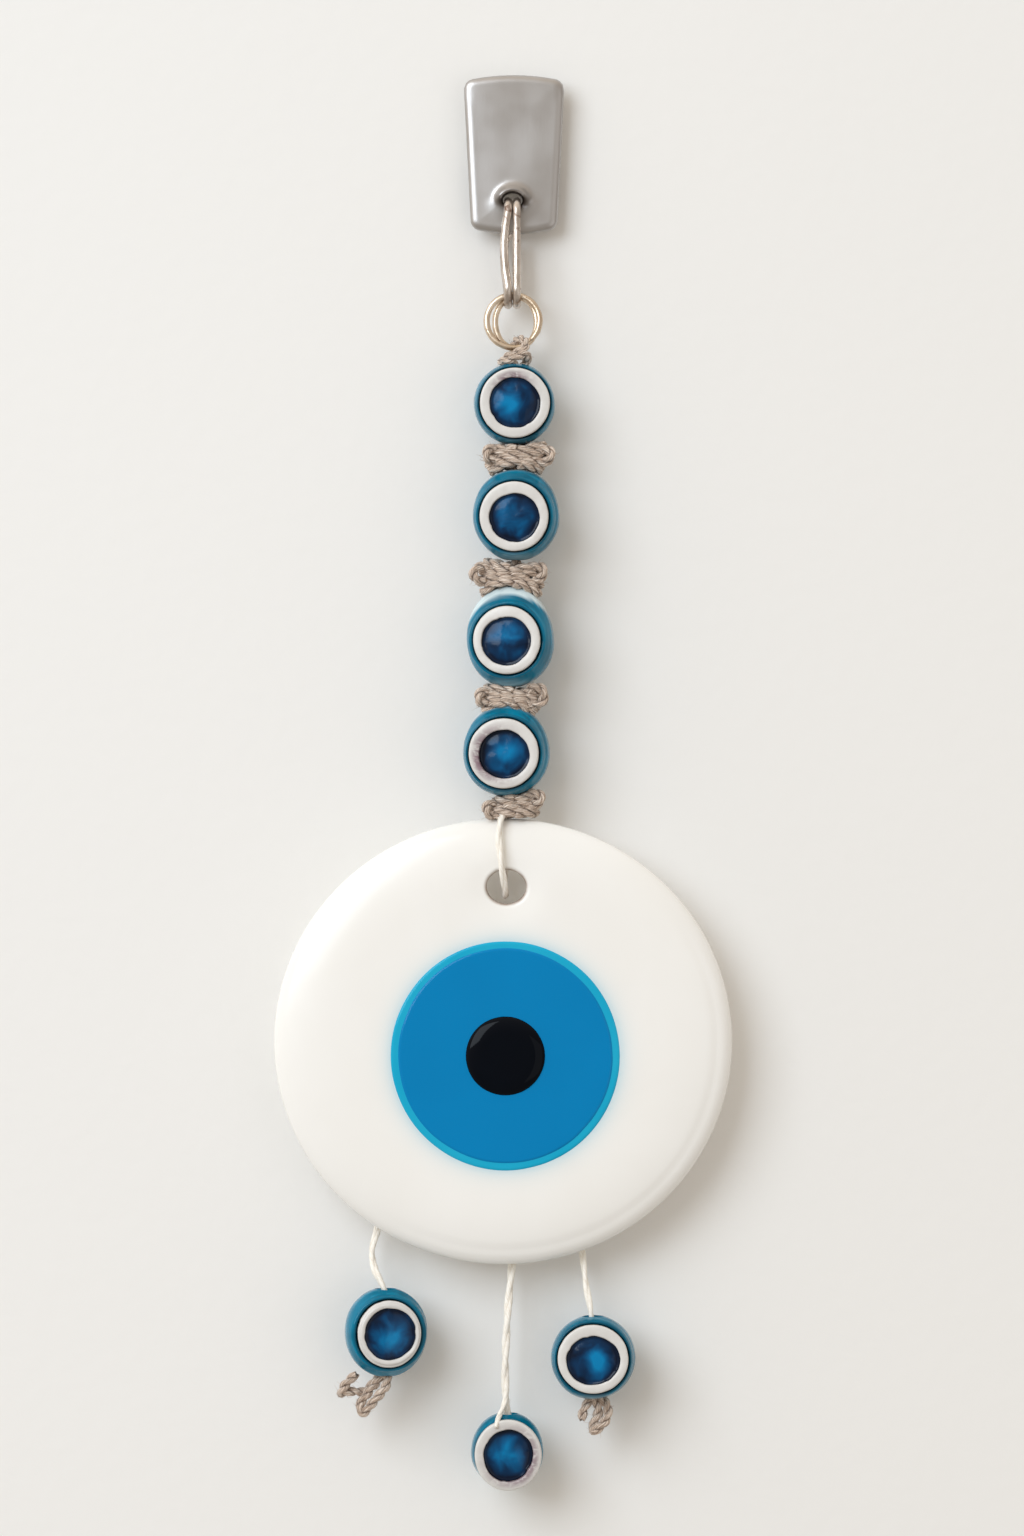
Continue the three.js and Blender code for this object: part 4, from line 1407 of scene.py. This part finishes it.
DISC_HOLE = {"x": -1.7, "z": -161.6, "half_width": 4.3, "half_height": 3.75}
DISC_EDGE = 17.0  # the width of its front's long rounding
DISC_BACK_EDGE = 7.0


def add_disc():
    """The white glass: a thick lens with a dimpled hole and a faint fold along its lower right edge."""
    low, high = box("glass_disc")
    middle, half = (low + high) / 2, (high - low) / 2
    hole = np.array([DISC_HOLE["x"], DISC_HOLE["z"]])
    angles = circle(220)
    across_hole = DISC_HOLE["half_width"] * np.cos(angles)
    up_hole = DISC_HOLE["half_height"] * np.sin(angles)
    throat = hole + np.column_stack([across_hole, up_hole])
    fine = circle(6000)
    outline = np.column_stack([middle[0] + half[0] * np.cos(fine), middle[2] + half[2] * np.sin(fine)])
    rim = seen_from(hole, outline, angles)

    def from_rim(x, z):
        spread = np.hypot((x - middle[0]) / half[0], (z - middle[2]) / half[2])
        return np.clip(1 - spread, 0, 1) * half[0]

    def front(x, z, from_throat, _):
        share = np.clip((DISC_EDGE - from_rim(x, z)) / DISC_EDGE, 0, 1)
        drop = half[1] * (1 - (1 - share**2.6) ** 0.5)
        dimple = 0.45 * np.exp(-((from_throat / 3.4) ** 2))
        fold = 0.17 * np.exp(-(((from_rim(x, z) - 3.4) / 0.7) ** 2))
        fold *= smooth(x - middle[0] - (z - middle[2]), -10, 50)
        return middle[1] - half[1] + drop + dimple + fold + rounding(from_throat, 1.0, 1.1)

    def back(x, z, from_throat, _):
        share = np.clip((DISC_BACK_EDGE - from_rim(x, z)) / DISC_BACK_EDGE, 0, 1)
        drop = half[1] * (1 - (1 - share**2.4) ** 0.5)
        return middle[1] + half[1] - drop - rounding(from_throat, 0.8, 0.8)

    iris = centre("iris")
    halo = (box("iris_halo")[1] - box("iris_halo")[0])[0] / 2

    def bleed(x, z, from_throat, on_front):
        away = np.hypot(x - iris[0], z - iris[2]) - halo
        return on_front * np.exp(-np.clip(away, 0, None) / 1.5)

    def soot(x, z, from_throat, on_front):
        return np.exp(-((from_throat / 0.35) ** 2))

    made = holed_plate(rim, throat, 1.0, 9.0, front, back, 70, bleed=bleed, soot=soot)
    add_piece("disc_glass", made, "white_glass", "disc", "glass_disc")


def glass_drop(name, node, slot, back, front, edge, seed, wobble):
    """A round drop of glass on the disc's face, flat in the middle with a rounded edge."""
    low, high = box(node)
    radius = (high - low)[0] / 2
    x, _, z = (low + high) / 2
    profile = [(0.05, back), (radius - 0.2, back)]
    for angle in np.radians(np.linspace(0, 90, 14)):
        profile.append((radius - edge * (1 - math.cos(angle)), back + (front - back) * math.sin(angle)))
    for share in np.linspace(0.9, 0.02, 14):
        profile.append(((radius - edge) * share, front))
    profile = np.array(profile)

    def reshape(rows, angles, profile):
        wave = uneven(angles, seed, wobble) * (profile[:, 0] / radius)[:, None]
        return rows * (1 + wave[..., None] * [1, 0, 1])

    made = turned(profile, np.array([x, 0.0, z]), (0, -1, 0), 150, reshape)
    add_piece(name, made, slot, "disc", node)


def add_disc_layers():
    """The halo, the iris and the pupil, each poured over the last."""
    front = -box("glass_disc")[0][1]
    glass_drop("halo_glass", "iris_halo", "cyan_glass", front - 0.5, front + 0.22, 1.0, 500, 0.0015)
    glass_drop("iris_glass", "iris", "blue_glass", front - 0.1, front + 0.42, 0.8, 510, 0.004)
    glass_drop("pupil_glass", "pupil", "black_glass", front + 0.2, front + 1.55, 3.4, 520, 0.003)


def add_glue():
    """A dab of glue behind the disc for each pendant cord."""
    for seed, side in enumerate(("left", "middle", "right"), 70):
        node = f"{side}_glue_dab"
        low, high = box(node)
        x, _, z = (low + high) / 2
        radius, back, front = (high[0] - low[0]) / 2, high[1], low[1]
        profile = [(0.05, front), (radius * 0.8, front), (radius * 1.02, front + 0.12)]
        for angle in np.radians(np.linspace(8, 88, 12)):
            profile.append((radius * math.cos(angle), front + (back - front) * math.sin(angle)))

        def reshape(rows, angles, profile):
            swell = uneven(angles, seed, 0.07) * (profile[:, 0] / radius)[:, None]
            return rows * (1 + swell[..., None] * [1, 0, 1])

        made = turned(profile, np.array([x, 0.0, z]), (0, 1, 0), 48, reshape)
        add_piece(f"{side}_glue", made, "glue", "disc", node)


add_tag()
add_foam_pad()
add_split_link()
add_split_ring()
add_hanging_loop()
add_string()
add_knots()
add_beads()
add_disc()
add_disc_layers()
add_disc_loop()
add_glue()
add_end_knots()
